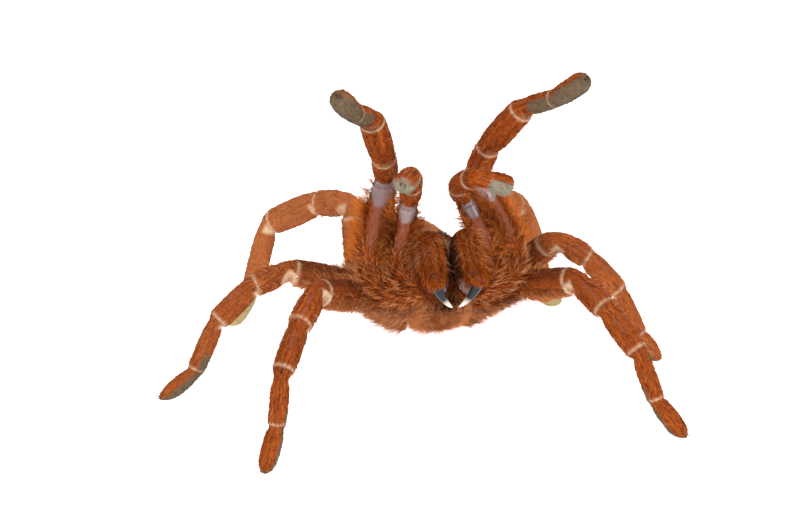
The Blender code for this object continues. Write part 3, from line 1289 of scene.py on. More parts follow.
    def _membrane(self, spine: Spine, turn: Array) -> Array:
        """The soft cream skin in a standing leg's knee: a wedge, widest underneath.

        Args:
            spine: the limb's spine.
            turn: (columns,) angle round the limb.

        Returns:
            (rows, columns) levels from 0 to 1.
        """
        side = -np.sin(turn)[None, :] + 0.05 * np.sin(3 * turn + self.seed)[None, :]
        half = 2.9 * ease(side, -0.8, 0.7) - 0.4
        knee = spine.travelled[(spine.part == FEMUR) & (spine.turned >= 0)].mean()
        away = np.abs(spine.travelled - knee)[:, None]
        return 0.66 * ease(half - away, -0.3, 0.3) * (not self.raised)

    def _lines(self, spine: Spine, turn: Array) -> Array:
        """The two thin bald lines along the upper side of the patella and the tibia.

        Args:
            spine: the limb's spine.
            turn: (columns,) angle round the limb.

        Returns:
            (rows, columns) levels from 0 to 1.
        """
        part, share = spine.part[:, None], spine.share[:, None]
        lines = bump_curve(np.abs(turn - TOP), 0.50, 0.15)[None, :]
        reach = (part == PATELLA) * (1 - ease(share, 0.75, 0.95))
        reach = reach + (part == TIBIA) * (1 - ease(share, 0.4, 0.7))
        return lines * reach * ease(share, 0.02, 0.12) * (1 - 0.8 * self.hind)

    def _knee_patch(self, spine: Spine, under: Array) -> Array:
        """The glossy bald patch at a raised femur's end, which widens towards the knee.

        Args:
            spine: the limb's spine.
            under: (1, columns) 0 on the upper half, 1 along the underside.

        Returns:
            (rows, columns) levels from 0 to 1.
        """
        share = spine.share[:, None]
        reach = (spine.part == FEMUR)[:, None] * ease(share + 0.30 * under, 0.88, 1.12)
        return reach * ease(under, 0.15, 0.45) * ease(share, 0.6, 0.8)

    def _thickets(self, spine: Spine, turn: Array) -> dict[str, Array]:
        """Where each kind of hair grows.

        Args:
            spine: the limb's spine.
            turn: (columns,) angle round the limb.

        Returns:
            Densities by the kind's name, each an array that can be spread over the grid.
        """
        under = np.clip(-np.sin(turn), 0, 1)[None, :]
        part, share = spine.part[:, None], spine.share[:, None]
        below = turn[None, :] - UNDERSIDE
        joint = spine.joint[:, None]
        soft = joint * (part >= PATELLA) * ease(under, 0.05, 0.4) * (not self.raised)
        soft = np.clip(soft + self._membrane(spine, turn), 0, 1)
        clear = (1 - soft) * (1 - 0.5 * spine.rim[:, None])
        femur = (part == FEMUR) * 1.0
        stripe = bump_curve(below, 0.0, 0.42) * femur * ease(share, 0.12, 0.3)
        bald = np.maximum(stripe * 0.85, self._knee_patch(spine, under)) * self.raised
        pad = self._pad(spine, turn)
        root = (part <= TROCHANTER) * 1.0 + femur * (1 - ease(share, 0.15, 0.5)) * 0.8
        edges = bump_curve(np.abs(below), 1.15, 0.35) * femur
        lines = 0.6 * self._lines(spine, turn)
        return {
            "velvet": clear * (1 - bald) * (1 - pad * 0.85) * (1 - lines),
            "pad": pad,
            "fringe": clear * (root + edges * 0.9 + (part == PATELLA) * 0.1) * (1 - bald),
            "mane": edges * (1 - bald) * (1 - 0.5 * ease(share, 0.7, 0.95)),
            "belly": clear * femur * ease(under, 0.0, 0.6),
            "setae": clear * (part >= FEMUR) * (1 - bald) * (1 - pad),
        }

    def claws(self, spine: Spine) -> Tuft:
        """The two small curved claws at the tip, as two thick dark spikes."""
        end, way = spine.centre[-1], spine.along[-1]
        across, back = spine.across[-1], spine.back[-1]
        sides = np.array((-1.0, 1.0))[:, None]
        roots = end + across * sides * 0.38 + back * 0.25 - way * 0.25
        roots[:, 2] = np.maximum(roots[:, 2], 0.55)
        ways = unit(way + across * sides * 0.25 - back * 0.15)
        ways[:, 2] = np.maximum(ways[:, 2], -0.1)
        ways = unit(ways)
        fields = {mask.value: np.zeros(2) for mask in Mask}
        fields["dark"] = np.ones(2)
        fields["tone"] = np.zeros(2)
        normals = np.broadcast_to(back, (2, 3))
        return spikes(roots, ways, normals, np.full(2, 1.15), np.full(2, 0.34), 0.5, True, fields)

    def build(self) -> None:
        """Makes the limb's skin and its hair."""
        spine = self.spine()
        turn = round_turns(self.columns)
        surface = self.surface(spine, turn)
        surface.build(f"{self.name}_skin", self.skin, "velvet", [self.name])
        thickets = self._thickets(spine, turn)
        size = spine.travelled[-1] / USUAL_REACH
        groomer = Groomer(surface, self.seed)
        smooth = 1 - 0.35 * self.hind
        coat = thickets["velvet"]
        fine = int(7200 * size)
        groomer.grow(Bristle(fine, 0.80 * smooth, 0.105, 18, 11, 0.1, 0.42, False, 0.22, 0.14), coat)
        bold = int(3000 * size)
        groomer.grow(Bristle(bold, 1.5 * smooth, 0.13, 14, 9, 0.1, 0.43, False, 0.30, 0.16), coat)
        groomer.grow(Bristle(int(2200 * size), 0.42, 0.09, 62, 14, 0.0, 0.6), thickets["pad"])
        fringe = Bristle(int(1200 * size), 2.2, 0.12, 36, 26, 0.35, 0.62, True, 0.36)
        groomer.grow(fringe, thickets["fringe"], {Mask.DARK: 0.12})
        tipped = Bristle(int(650 * size), 2.8, 0.12, 50, 30, 0.4, 0.95, True, 0.1)
        groomer.grow(tipped, thickets["fringe"], {Mask.PALE: 0.26, Mask.DARK: 0.0})
        if self.raised:
            mane = Bristle(int(1100 * size), 4.2, 0.12, 66, 18, 0.25, 0.82, True)
            groomer.grow(mane, thickets["mane"])
        else:
            # The gold hair under a standing leg's femur is partly its own colour and partly painted
            # light: it is brightened to stand in for light shining through the hair on the underside.
            below = max(0.0, 1 - 2 * self.hind)
            belly = Bristle(int(2800 * size * below), 1.5, 0.10, 40, 16, 0.25, 0.98)
            groomer.grow(belly, thickets["belly"], {Mask.DARK: 0.0, Mask.PALE: 0.17})
        setae = Bristle(int(420 * size * smooth), 1.9, 0.07, 48, 18, 0.25, 0.8)
        groomer.grow(setae, thickets["setae"], {Mask.PALE: 0.14, Mask.DARK: 0.0})
        spurs = Bristle(int(70 * size), 3.2, 0.07, 58, 22, 0.25, 0.9, True)
        groomer.grow(spurs, thickets["setae"], {Mask.PALE: 0.45, Mask.DARK: 0.0})
        groomer.add(self.claws(spine))
        groomer.build(f"{self.name}_hair", self.hair, "velvet")


@dataclass
class Carapace:
    """The domed shield over the front body."""

    skin: bpy.types.Material
    hair: bpy.types.Material
    length: float = 28.2
    width: float = 23.5
    dome: float = 7.2
    rows: int = 64
    columns: int = 128

    def height(self, ahead: Array, side: Array, lift: Array, turn: Array) -> Array:
        """Height over the body's middle.

        A blunt-fronted dome, plus bells for the head and the eye mound, minus one for the pit,
        minus shallow grooves that run out from the pit like a fan.

        Args:
            ahead: place along the body.
            side: place across it.
            lift: 0 at the rim to 1 at the top.
            turn: angle round the outline, 0 ahead.

        Returns:
            Heights in millimetres.
        """
        head = mound(ahead, side, 9.0, (6.0, 7.0))
        eyes = mound(ahead, side, EYES_AHEAD, (1.6, 1.9))
        pit = mound(ahead, side, PIT_AHEAD, (0.9, 2.3))
        blunt = lift ** (1 - 0.45 * np.clip(np.cos(turn), 0, None))
        grooves = np.zeros_like(lift)
        reach = np.hypot(ahead - PIT_AHEAD, side)
        bearing = np.arctan2(np.abs(side), ahead - PIT_AHEAD)
        for at in (0.62, 1.18, 1.72, 2.3):
            grooves = grooves + bump_curve(bearing, at, 0.075)
        grooves = grooves * ease(reach, 1.5, 3.5) * (1 - ease(reach, 8.5, 11.5))
        height = 1.3 + (self.dome - 2.0) * blunt
        height = height + (2.6 * head + 1.4 * eyes - 1.5 * pit) * blunt
        return height - 0.38 * grooves

    def surface(self) -> Surface:
        """The shield as rings from under its rim to its top, squared off in front."""
        turn = round_turns(self.columns)
        rise = np.linspace(0.0, math.pi / 2 * 0.985, self.rows)[:, None]
        spread, lift = np.cos(rise), np.sin(rise)
        ahead = self.length / 2 * np.cos(turn) * spread - 0.3
        taper = 1 - 0.30 * np.clip(ahead / (self.length / 2), 0, None) ** 1.5
        side = self.width / 2 * np.sin(turn) * spread * taper
        above = self.height(ahead, side, lift, turn[None, :])
        under = BODY.place(side[:1] * 0.93, ahead[:1] * 0.93, above[:1] - 0.25)
        points = np.concatenate((under, BODY.place(side, ahead, above)))
        comb = BODY.turn(-side * 0.6, 9.0, 1.0)
        comb = unit(np.concatenate((comb[:1], comb)))
        stack = np.stack((side / 0.5, ahead / 2.2, above / 0.5), axis=-1)
        grain = np.concatenate((stack[:1], stack))
        rim = np.concatenate((np.ones((1, 1)), bump_curve(spread, 1.0, 0.05)))
        dark = 0.9 * mound(ahead, side, EYES_AHEAD, (1.7, 2.1))
        dark = dark + 0.8 * mound(ahead, side, PIT_AHEAD, (1.2, 2.6))
        masks = {Mask.PALE: 0.35 * rim, Mask.DARK: np.concatenate((dark[:1], dark))}
        reach = np.linspace(0.0, self.length / 2, self.rows + 1)
        return Surface(points, comb, grain, masks, 0.3 * streaks(turn, reach, 3, 30))

    def build(self) -> None:
        """Makes the shield and its close, gold-tipped hair."""
        surface = self.surface()
        surface.build("carapace_skin", self.skin, "velvet", ["carapace"])
        edge = np.zeros(surface.points.shape[:2])
        edge[:14] = 1.0
        groomer = Groomer(surface, 71)
        bare_mound = 1 - 0.9 * surface.mask(Mask.DARK)
        groomer.grow(Bristle(9000, 0.8, 0.075, 16, 14, 0.1, 0.6), bare_mound)
        groomer.grow(Bristle(1500, 1.9, 0.075, 30, 24, 0.3, 0.75, True), edge)
        column = np.arange(self.columns)
        front = np.zeros(edge.shape)
        front[4:26, np.minimum(column, self.columns - column) < 12] = 1.0
        groomer.grow(Bristle(420, 1.5, 0.06, 60, 25, 0.2, 0.3, True), front)
        groomer.build("carapace_hair", self.hair, "velvet")


@dataclass
class Eyes:
    """The eight eyes on the mound, in two rows of four."""

    glass: bpy.types.Material
    shield: Carapace
    rows: int = 12
    columns: int = 16

    def build(self) -> None:
        """Eight small ellipsoids, each centred on the mound's surface."""
        # (side, ahead, half size along and across, in millimetres), for one side
        places = (
            (0.42, 12.1, 0.36, 0.36),
            (1.30, 12.2, 0.42, 0.30),
            (0.85, 11.0, 0.26, 0.20),
            (1.45, 11.2, 0.36, 0.24),
        )
        all_points, all_faces = [], []
        fall = np.linspace(0.04, math.pi - 0.04, self.rows)[:, None]
        turn = round_turns(self.columns)
        start = 0
        for sign in (-1, 1):
            for side, ahead, long_half, wide_half in places:
                lift = math.sqrt(1 - (ahead / (self.shield.length / 2)) ** 2)
                spot = (np.array(value) for value in (ahead, side, lift, 0.0))
                above = float(self.shield.height(*spot))
                centre = BODY.place(sign * side, ahead, above - 0.05)
                ball = BODY.turn(
                    wide_half * np.sin(fall) * np.cos(turn),
                    long_half * np.sin(fall) * np.sin(turn),
                    0.30 * np.cos(fall),
                )
                piece = Surface(ball + centre, ball, ball)
                all_points.append(piece.capped(piece.points))
                all_faces.append(piece.faces() + start)
                start += len(all_points[-1])
        points = np.concatenate(all_points)
        mesh_object("eyes", points, np.concatenate(all_faces), {}, self.glass)


@dataclass
class Underbody:
    """The soft flanks, the breast plate, the lip and the dark fringe round the mouth."""

    skin: bpy.types.Material
    hair: bpy.types.Material
    rows: int = 56
    columns: int = 96

    def surface(self) -> Surface:
        """Rings whose half width and half length follow the body's levels, smoothly joined."""
        levels = np.array((1.0, -0.3, -1.8, -3.2, -5.4, -7.2, -8.0, -8.3, -8.4))
        widths = np.array((10.2, 9.0, 7.0, 6.1, 6.1, 5.2, 3.6, 1.9, 0.15))
        lengths = np.array((12.8, 12.3, 11.4, 10.9, 10.9, 9.6, 7.2, 3.8, 0.3))
        reach = np.cumsum(np.hypot(np.diff(levels, prepend=1.0), np.diff(widths, prepend=10.2)))
        run = np.linspace(0.0, reach[-1], self.rows)
        turn = round_turns(self.columns)
        above = np.interp(run, reach, levels)
        half_width = np.interp(run, reach, widths)[:, None]
        half_length = np.interp(run, reach, lengths)[:, None]
        ahead = half_length * np.cos(turn) - 0.3
        side = half_width * np.sin(turn) * (1 - 0.22 * np.cos(turn))
        low = ease(-above, 5.0, 8.0)[:, None]
        lip = low * np.exp(-((np.cos(turn)[None, :] - 1.0) ** 2) / 0.03) * 0.5
        level = above[:, None] - lip
        points = BODY.place(side, ahead, level)
        comb = BODY.turn(0.3 * side, 4.0, -6.0)
        stack = np.stack((side / 0.4, ahead / 1.5, level / 0.8), axis=-1)
        # Angles just short of a full turn lie as near the front as those just past 0
        mouth = np.exp(-((turn - math.pi) ** 2 - math.pi**2) ** 2 / 8.0)[None, :] * low
        high = 1 - ease(-above, 1.0, 4.5)[:, None]
        masks = {Mask.DARK: 0.25 * low + 0.6 * mouth + 0.65 * high}
        return Surface(points, unit(comb), stack, masks, streaks(turn, run, 5, 24))

    def build(self) -> None:
        """Makes the underbody with long rust hair on its flanks and a dark mouth fringe."""
        surface = self.surface()
        surface.build("sternum_skin", self.skin, "velvet", ["sternum"])
        turn = round_turns(self.columns)
        rows = np.linspace(0, 1, self.rows)[:, None]
        belly = ease(rows, 0.35, 0.6)
        flank = 1 - belly
        front = np.exp(-((np.cos(turn) - 1.0) ** 2) / 0.10)[None, :]
        front = front * ease(rows, 0.40, 0.50) * (1 - ease(rows, 0.68, 0.80))
        groomer = Groomer(surface, 83)
        groomer.grow(Bristle(2400, 2.2, 0.11, 32, 24, 0.3, 0.55, True, 0.3), flank)
        gold = {Mask.DARK: 0.0, Mask.PALE: 0.20}
        groomer.grow(Bristle(7000, 1.3, 0.10, 26, 18, 0.2, 1.0, False, 0.12, 0.1), belly, gold)
        groomer.grow(Bristle(1500, 2.3, 0.10, 38, 24, 0.3, 1.0, True), belly, gold)
        sides = bump_curve(rows, 0.62, 0.16) * np.abs(np.sin(turn))[None, :] ** 0.5
        outward = BODY.turn(np.sin(turn), 0.3 * np.cos(turn), -0.4)
        groomer.grow(Bristle(2000, 3.2, 0.12, 30, 18, 0.2, 0.9, True), sides, gold, outward)
        lip_fringe = Bristle(1500, 2.6, 0.11, 48, 26, 0.2, 0.25, True)
        groomer.grow(lip_fringe, front, {Mask.DARK: 0.85})
        groomer.build("sternum_hair", self.hair, "velvet")


@dataclass
class Chelicera:
    """One jaw's heavy upper part: a deep egg combed with long hair."""

    side: Side
    skin: bpy.types.Material
    hair: bpy.types.Material
    length: float = 13.6
    width: float = 7.9
    depth: float = 9.6
    droop: float = math.radians(-30)
    gap: float = 0.3
    rows: int = 72
    columns: int = 64

    def surface(self) -> Surface:
        """Ellipses along the drooping axis, whose sizes run smoothly through measured shares."""
        way = np.array((0.0, -math.cos(self.droop), math.sin(self.droop)))
        up = np.array((0.0, math.sin(self.droop), math.cos(self.droop)))
        across = np.array((1.0, 0.0, 0.0))
        marks = np.array((0.0, 0.12, 0.32, 0.55, 0.74, 0.88, 0.97, 1.0))
        wides = np.array((0.72, 0.90, 1.0, 1.0, 0.93, 0.78, 0.54, 0.20))
        highs = np.array((0.74, 0.93, 1.0, 0.98, 0.88, 0.70, 0.46, 0.15))
        rises = np.array((0.0, 0.0, 0.0, -0.1, -0.3, -0.6, -0.9, -1.0))
        even = np.linspace(0.0, 1.0, self.rows)
        share = np.sin(even * math.pi / 2)
        wide = np.interp(share, marks, wides)
        high = np.interp(share, marks, highs)
        rise = np.interp(share, marks, rises)
        turn = round_turns(self.columns)
        root = BODY.place(self.side.value * self.width / 2, 17.7, 3.5)
        centre = root + way * (self.length * share)[:, None] + up * rise[:, None]
        half_width = (self.width - self.gap) / 2 * wide
        half_height = self.depth / 2 * high
        # The faces that meet on the middle line are flatter than the outer ones
        inner = np.clip(-self.side.value * np.cos(turn), 0, 1)
        flat = 1.0 - 0.06 * inner
        points = (
            centre[:, None, :]
            + across * (half_width[:, None] * np.cos(turn) * flat)[..., None]
            + up * (half_height[:, None] * np.sin(turn))[..., None]
        )
        lengthwise = (share * self.length / 2.0)[:, None]
        grain = on_grid(points.shape[:2], points[..., 0] / 0.22, (points @ up) / 0.22, lengthwise)
        end = ease(share, 0.76, 0.92)[:, None]
        below = np.clip(-np.sin(turn), 0, 1)[None, :]
        bare = end * (0.55 + 0.45 * inner[None, :])
        bare = np.clip(bare + 0.5 * below * ease(share, 0.5, 0.8)[:, None], 0, 1)
        rim = ease(np.clip(self.side.value * np.cos(turn), 0, 1), 0.80, 1.0)[None, :]
        dark = ease(inner[None, :], 0.45, 0.9) * (1 - 0.5 * end) + 0.25 * below + 0.6 * rim
        masks = {Mask.BARE: bare * 0.8, Mask.DARK: dark}
        bands = streaks(turn, share * self.length, 17 + self.side.value, 22)
        return Surface(points, way, grain, masks, bands)

    def build(self) -> None:
        """Makes the jaw with a long combed coat, sparse at its bare outer end."""
        name = f"chelicera_{self.side.name.lower()}"
        surface = self.surface()
        surface.build(f"{name}_skin", self.skin, "velvet", [name])
        rows = np.sin(np.linspace(0, 1, self.rows) * math.pi / 2)[:, None]
        turn = round_turns(self.columns)
        inner = np.clip(-self.side.value * np.cos(turn), 0, 1)[None, :]
        outer = (1 - ease(inner, 0.5, 0.95)) * (1 - 0.75 * ease(rows, 0.84, 0.97))
        groomer = Groomer(surface, 91 + self.side.value)
        groomer.grow(Bristle(8500, 0.95, 0.095, 20, 12, 0.15, 0.38, False, 0.24, 0.12), outer)
        groomer.grow(Bristle(2400, 1.5, 0.12, 20, 12, 0.2, 0.44, False, 0.34, 0.14), outer)
        groomer.grow(Bristle(450, 2.0, 0.08, 36, 18, 0.25, 0.75, True), outer)
        crest = outer * np.clip(np.sin(turn), 0, 1)[None, :] * (1 - ease(rows, 0.5, 0.8))
        groomer.grow(Bristle(160, 3.0, 0.065, 48, 20, 0.3, 0.9, True), crest, {Mask.PALE: 0.4})
        fang_root = fang_start(self.side)
        away = np.linalg.norm(surface.points - fang_root, axis=2)
        over_root = surface.points[..., 2] > fang_root[2] - 0.6
        collar = bump_curve(away, 0.0, 3.2) * over_root
        aim = fang_root + np.array((0.0, -2.4, -2.6))
        tuft = Bristle(1100, 3.0, 0.11, 26, 14, 0.0, 0.42, True, 0.3)
        groomer.grow(tuft, collar, {Mask.BARE: 0.0}, aim=aim)
        gap = ease(inner, 0.55, 0.9) * (1 - ease(rows, 0.9, 1.0))
        groomer.grow(Bristle(900, 0.9, 0.08, 20, 20, 0.1, 0.1), gap, {Mask.DARK: 0.9})
        mouth = np.clip(-np.sin(turn), 0, 1)[None, :] * ease(rows, 0.55, 0.75)
        short = Bristle(500, 1.8, 0.08, 40, 24, 0.3, 0.4, True)
        groomer.grow(short, mouth, {Mask.DARK: 0.35, Mask.BARE: 0.0})
        groomer.build(f"{name}_hair", self.hair, "velvet")
        self._build_cuff(name)

    def _build_cuff(self, name: str) -> None:
        """Makes the soft sleeve round the fang's root, with a few hairs on it.

        Rings follow start * (1 - t)^2 + over * 2t(1 - t) + end * t^2, from inside the jaw to just
        over the horn.

        Args:
            name: the jaw's name.
        """
        flip = self.side.value
        start = np.array((flip * 4.2, -19.6, 32.4))
        over = np.array((flip * 4.7, -23.6, 34.3))
        end = np.array((flip * 4.62, -23.42, 33.2))
        t = np.linspace(0.0, 1.0, 26)[:, None]
        centre = start * (1 - t) ** 2 + over * (2 * t * (1 - t)) + end * t**2
        way = unit(np.gradient(centre, axis=0))
        across = unit(np.cross(way, np.array((1.0, 0.0, 0.0))))
        beside = np.cross(way, across)
        thick = np.interp(t[:, 0], (0.0, 0.5, 0.85, 0.95, 1.0), (2.0, 1.55, 1.50, 1.46, 1.30))
        turn = round_turns(28)
        ring = across[:, None, :] * np.cos(turn)[None, :, None]
        ring = ring + beside[:, None, :] * np.sin(turn)[None, :, None]
        points = centre[:, None, :] + ring * thick[:, None, None]
        cuff = Surface(points, way[:, None, :], points / 0.3, {Mask.BARE: np.array(0.66)})
        cuff.build(f"{name}_cuff", self.skin, "velvet")
        groomer = Groomer(cuff, 97 + flip)
        down = Bristle(1000, 1.3, 0.10, 22, 18, 0.1, 0.45, True, 0.3)
        groomer.grow(down, ease(t, 0.3, 0.5), {Mask.BARE: 0.0})
        groomer.build(f"{name}_cuff_hair", self.hair, "velvet")


@dataclass
class Fang:
    """One fang: a tapering horn that curves down, back and inwards."""

    side: Side
    horn: bpy.types.Material
    length: float = 8.4
    rows: int = 60
    columns: int = 32

    def surface(self) -> tuple[Surface, Array]:
        """Circles carried along a path whose dip and inward turn grow evenly with the share.

        Returns:
            The surface, and the share of the length at each row.
        """
        share = np.linspace(0.0, 1.0, self.rows)
        dip = np.radians(84 + 38 * share)
        inward = np.radians(14 + 40 * share)
        ways = unit(
            np.stack((-self.side.value * np.sin(inward), -np.cos(dip), -np.sin(dip)), axis=-1)
        )
        steps = ways[1:] * (self.length / (self.rows - 1))
        centre = fang_start(self.side) + np.concatenate((np.zeros((1, 3)), np.cumsum(steps, axis=0)))
        across = unit(np.cross(ways, np.array((0.0, 1.0, 0.0))))
        over = np.cross(across, ways)
        thick = 1.22 * (1 - share) ** 0.72 + 0.07
        thick = thick * (1 + 0.10 * bump_curve(share, 0.06, 0.05))
        thick = thick * np.sqrt(np.clip(share / 0.05, 0.04, 1.0))
        turn = round_turns(self.columns)
        groove = 1 - 0.10 * bump_curve(turn, UNDERSIDE, 0.3)
        points = centre[:, None, :] + (
            across[:, None, :] * np.cos(turn)[None, :, None]
            + over[:, None, :] * (0.88 * np.sin(turn))[None, :, None]
        ) * (thick[:, None] * groove)[..., None]
        lengthwise = (share * 1.5)[:, None]
        grain = on_grid(points.shape[:2], np.cos(turn) * 3.0, np.sin(turn) * 3.0, lengthwise)
        return Surface(points, ways[:, None, :], grain), share

    def build(self) -> None:
        """Makes the fang."""
        surface, share = self.surface()
        name = f"fang_{self.side.name.lower()}"
        surface.build(f"{name}_horn", self.horn, "fang", [name], {"tip": share[:, None]})


@dataclass
class Abdomen:
    """The soft hind body with its waist, swung a little to the right."""

    skin: bpy.types.Material
    hair: bpy.types.Material
    length: float = 33.5
    width: float = 24.8
    depth: float = 23.0
    clearance: float = 1.0
    swing: float = math.radians(5)
    rows: int = 110
    neck_rows: int = 10
    columns: int = 96

    def surface(self) -> Surface:
        """An egg on a short waist: ellipses whose size is sin(turn) * (1 - 0.07 cos(turn)).

        Shallow cross folds, a sine along the length, crease the skin where it has dried.
        """
        backward = np.array((-math.sin(self.swing), math.cos(self.swing), 0.0))
        across = np.array((math.cos(self.swing), math.sin(self.swing), 0.0))
        up = np.array((0.0, 0.0, 1.0))
        half_length = self.length / 2
        waist = BODY.place(0.0, -12.9, -3.2)
        centre = np.array((waist[0], waist[1], 0.0)) + backward * (half_length + 5.4)
        centre[2] = self.clearance + self.depth / 2
        angle = np.radians(np.linspace(20, 178.5, self.rows - self.neck_rows))
        along = -np.cos(angle)
        swell = np.sin(angle) * (1 + 0.07 * along)
        egg = centre + backward * (half_length * along)[:, None]
        neck_share = np.linspace(0.0, 1.0, self.neck_rows)
        neck = waist + (egg[0] - waist) * neck_share[:, None]
        neck[:, 2] -= 0.54 * np.sin(math.pi * neck_share)
        first_wide, first_tall = self.width / 2 * swell[0], self.depth / 2 * swell[0]
        bell = neck_share**3
        middles = np.concatenate((neck[:-1], egg))
        wide = np.concatenate((1.5 + (first_wide - 1.5) * bell[:-1], self.width / 2 * swell))
        tall = np.concatenate((1.4 + (first_tall - 1.4) * bell[:-1], self.depth / 2 * swell))
        turn = round_turns(self.columns)
        run = np.arange(len(middles))[:, None] / len(middles)
        fold = 1 + 0.006 * np.sin(run * 70 + 1.5 * np.sin(turn * 2)) * np.sin(math.pi * run)
        dent = 1 - 0.02 * np.exp(-((np.sin(turn) - 1) ** 2) / 0.02)[None, :] * np.sin(math.pi * run)
        points = (
            middles[:, None, :]
            + across * (wide[:, None] * np.cos(turn) * fold * dent)[..., None]
            + up * (tall[:, None] * np.sin(turn) * fold * dent)[..., None]
        )
        points[..., 2] = np.maximum(points[..., 2], 0.4)
        lengthwise = (points @ backward) / 1.6
        grain = on_grid(
            points.shape[:2], (points @ across) / 0.35, lengthwise, points[..., 2] / 0.35
        )
        back = np.clip(np.sin(turn), 0, 1)[None, :]
        heart = bump_curve(np.cos(turn), 0.0, 0.20)[None, :] * back * bump_curve(run, 0.35, 0.2)
        bands = 0.25 * streaks(turn, run[:, 0] * self.length, 9, 30)
        return Surface(points, backward, grain, {Mask.DARK: 0.45 * heart}, bands)

    def build(self) -> None:
        """Makes the abdomen with a close coat and longer hair over it."""
        surface = self.surface()
        surface.build("abdomen_skin", self.skin, "abdomen_velvet", ["abdomen"])
        rows = np.linspace(0, 1, surface.points.shape[0])[:, None]
        cover = ease(rows, 0.03, 0.10)
        groomer = Groomer(surface, 57)
        groomer.grow(Bristle(11000, 1.1, 0.105, 22, 16, 0.15, 0.5), cover)
        groomer.grow(Bristle(2200, 2.3, 0.08, 34, 18, 0.3, 0.7, True), cover)
        groomer.build("abdomen_hair", self.hair, "abdomen_velvet")


@dataclass
class Spinneret:
    """One long spinneret of three joints."""

    side: Side
    skin: bpy.types.Material
    hair: bpy.types.Material
    columns: int = 24

    def build(self) -> None:
        """Circles along a straight axis, with a waist at each of its two joints."""
        flip = self.side.value
        way = unit(np.array((flip * 0.34, 1.0, 0.16)))
        root = np.array((flip * 2.1 - 3.4, 46.2, 9.4))
        across = unit(np.cross(way, np.array((0.0, 0.0, 1.0))))
        over = np.cross(across, way)
        reach = np.linspace(-0.6, 7.9, 56)
        marks = (-0.6, 0.0, 1.9, 2.35, 2.8, 4.6, 5.0, 5.4, 7.0, 7.6, 7.9)
        sizes = (1.1, 1.15, 1.15, 0.86, 1.0, 0.98, 0.74, 0.85, 0.66, 0.42, 0.12)
        half = np.interp(reach, marks, sizes)
        turn = round_turns(self.columns)
        ring = across * np.cos(turn)[:, None] + over * np.sin(turn)[:, None]
        centre = root + way * reach[:, None]
        points = centre[:, None, :] + ring[None] * half[:, None, None]
        grain = points / np.array((0.25, 1.2, 0.25))
        rim = bump_curve(reach, 2.35, 0.25) + bump_curve(reach, 5.0, 0.25)
        surface = Surface(points, way, grain, {Mask.PALE: 0.6 * rim[:, None]})
        name = f"spinneret_{self.side.name.lower()}"
        surface.build(f"{name}_skin", self.skin, "velvet", [name])
        groomer = Groomer(surface, 33 + flip)
        groomer.grow(Bristle(900, 0.7, 0.06, 22, 16, 0.1, 0.5), np.ones(1))
        groomer.build(f"{name}_hair", self.hair, "velvet")


@dataclass
class Studio:
    """The pale board, the soft lights and the camera at the photograph's angle."""

    azimuth: float = math.radians(-9.3)
    elevation: float = math.radians(24.3)
    distance: float = 480.0
    lens: float = 95.0
    target: tuple[float, float, float] = (-6.25, 12.97, 21.13)
    lit: tuple[float, float, float] = (0.0, 0.0, 0.03)
    board_half: float = 2.0
    sensor: float = 36.0

    def board(self) -> None:
        """A wide level square just under the feet."""
        half = self.board_half
        mesh = bpy.data.meshes.new("board")
        corners = ((-half, -half, 0), (half, -half, 0), (half, half, 0), (-half, half, 0))
        mesh.from_pydata(corners, [], [(0, 1, 2, 3)])
        mesh.materials.append(PaleBoard().build())
        board = bpy.data.objects.new("board", mesh)
        bpy.context.scene.collection.objects.link(board)

    def light(self, name: str, place: Colour, size: float, power: float, tint: Colour) -> None:
        """Adds one square area light that looks at the spider.

        Args:
            name: its name.
            place: where it stands, in metres.
            size: its width in metres.
            power: in watts.
            tint: its colour.
        """
        data = bpy.data.lights.new(name, "AREA")
        data.shape = "SQUARE"
        data.size = size
        data.energy = power
        data.color = tint
        lamp = bpy.data.objects.new(name, data)
        lamp.location = place
        towards = Vector(self.lit) - Vector(place)
        lamp.rotation_euler = towards.to_track_quat("-Z", "Y").to_euler()
        bpy.context.scene.collection.objects.link(lamp)

    def world(self) -> None:
        """An even, near-white surround."""
        world = bpy.data.worlds.new("surround")
        world.use_nodes = True
        background = world.node_tree.nodes["Background"]
        background.inputs["Color"].default_value = (1.0, 1.0, 1.0, 1.0)
        background.inputs["Strength"].default_value = 0.62
        bpy.context.scene.world = world

    def camera(self) -> None:
        """Stands back from the target along the photograph's azimuth and elevation."""
        back = np.array(
            (
                math.sin(self.azimuth) * math.cos(self.elevation),
                -math.cos(self.azimuth) * math.cos(self.elevation),
                math.sin(self.elevation),
            )
        )
        place = (np.array(self.target) + STAND_OFFSET + back * self.distance) * MM
        data = bpy.data.cameras.new("camera")
        data.lens = self.lens
        data.sensor_width = self.sensor
        data.clip_start = 0.01
        data.clip_end = 20.0
        camera = bpy.data.objects.new("camera", data)
        turned = Vector(-back).to_track_quat("-Z", "Y").to_matrix().to_4x4()
        camera.matrix_world = Matrix.Translation(Vector(place)) @ turned
        bpy.context.scene.collection.objects.link(camera)
        bpy.context.scene.camera = camera

    def build(self) -> None:
        """Sets up everything round the specimen."""
        self.board()
        self.world()
        self.light("key", (-0.35, -0.70, 0.90), 0.4, 14.0, (1.0, 0.98, 0.95))
        self.light("fill", (0.80, -0.50, 0.50), 0.6, 6.0, (0.98, 0.99, 1.0))
        self.light("rim", (0.2, 0.9, 0.7), 0.7, 9.0, (1.0, 1.0, 1.0))
        self.camera()
        bpy.context.scene.view_settings.view_transform = "Standard"


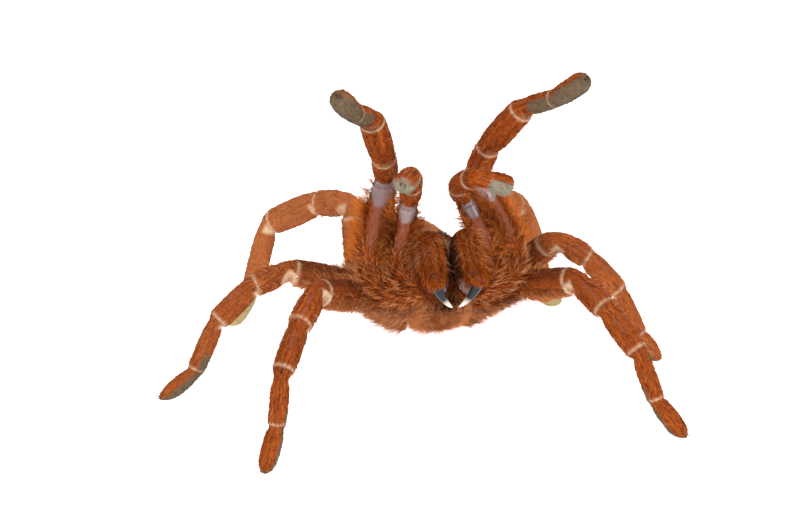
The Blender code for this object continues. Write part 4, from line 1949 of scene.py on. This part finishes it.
def build_limbs() -> None:
    """Makes the eight legs and the two palps, the hind ones paler and smoother."""
    hind = {1: 0.0, 2: 0.05, 3: 0.25, 4: 0.7}
    finishes = {}
    for pair, fade in hind.items():
        pad = (0.450, 0.370, 0.190) if pair == 4 else HairCoat.pad
        skin = VelvetSkin(f"velvet_skin_{pair}", pad=pad, fade=fade * 0.6).build()
        hair = HairCoat(f"velvet_hair_{pair}", pad=pad, fade=fade * 0.6).build()
        finishes[pair] = (skin, hair)
    for number, ((pair, side), pose) in enumerate(LEG_POSES.items()):
        skin, hair = finishes[pair]
        Limb(
            f"leg_{pair}_{side}",
            Side[side.upper()],
            LEG_ROOTS[pair],
            LEG_LENGTHS[pair],
            LEG_GIRTHS[pair],
            pose,
            skin,
            hair,
            seed=11 + number,
            raised=pair == 1,
            hind=hind[pair],
            pad_roll=FRONT_PAD_ROLLS[side] if pair == 1 else 0.0,
        ).build()
    skin = VelvetSkin("palp_skin_finish", pad=(0.205, 0.180, 0.130)).build()
    hair = HairCoat("palp_hair_finish", pad=(0.255, 0.225, 0.165)).build()
    for number, (side, pose) in enumerate(PALP_POSES.items()):
        Limb(
            f"pedipalp_{side}",
            Side[side.upper()],
            PALP_ROOT,
            PALP_LENGTHS,
            PALP_GIRTHS,
            pose,
            skin,
            hair,
            seed=31 + number,
            raised=True,
            palp=True,
            pad_roll=PALP_PAD_ROLLS[side],
        ).build()


def build_body() -> None:
    """Makes the shield, eyes, underbody, jaws, fangs, abdomen and spinnerets."""
    skin = VelvetSkin("velvet_skin_body").build()
    hair = HairCoat("velvet_hair_body").build()
    shield = Carapace(skin, hair)
    shield.build()
    Eyes(EyeGlass().build(), shield).build()
    Underbody(skin, hair).build()
    horn = FangHorn().build()
    jaw_hair = HairCoat(
        "chelicera_hair_finish", middle=(0.270, 0.046, 0.005), tip=(0.560, 0.150, 0.020)
    ).build()
    for side in Side:
        Chelicera(side, skin, jaw_hair).build()
        Fang(side, horn).build()
    soft_skin = VelvetSkin(
        "abdomen_skin_finish", rust=(0.22, 0.075, 0.030), bright=(0.40, 0.170, 0.075), fade=0.25
    ).build()
    soft_hair = HairCoat(
        "abdomen_hair_finish", middle=(0.33, 0.115, 0.040), tip=(0.58, 0.300, 0.130), fade=0.15
    ).build()
    Abdomen(soft_skin, soft_hair).build()
    for side in Side:
        Spinneret(side, skin, hair).build()


def main() -> None:
    """Builds the looks in order and reports each piece."""
    logging.basicConfig(level=logging.INFO, format="%(name)s: %(message)s", stream=sys.stdout)
    build_body()
    build_limbs()
    Studio().build()


if __name__ == "__main__":
    main()
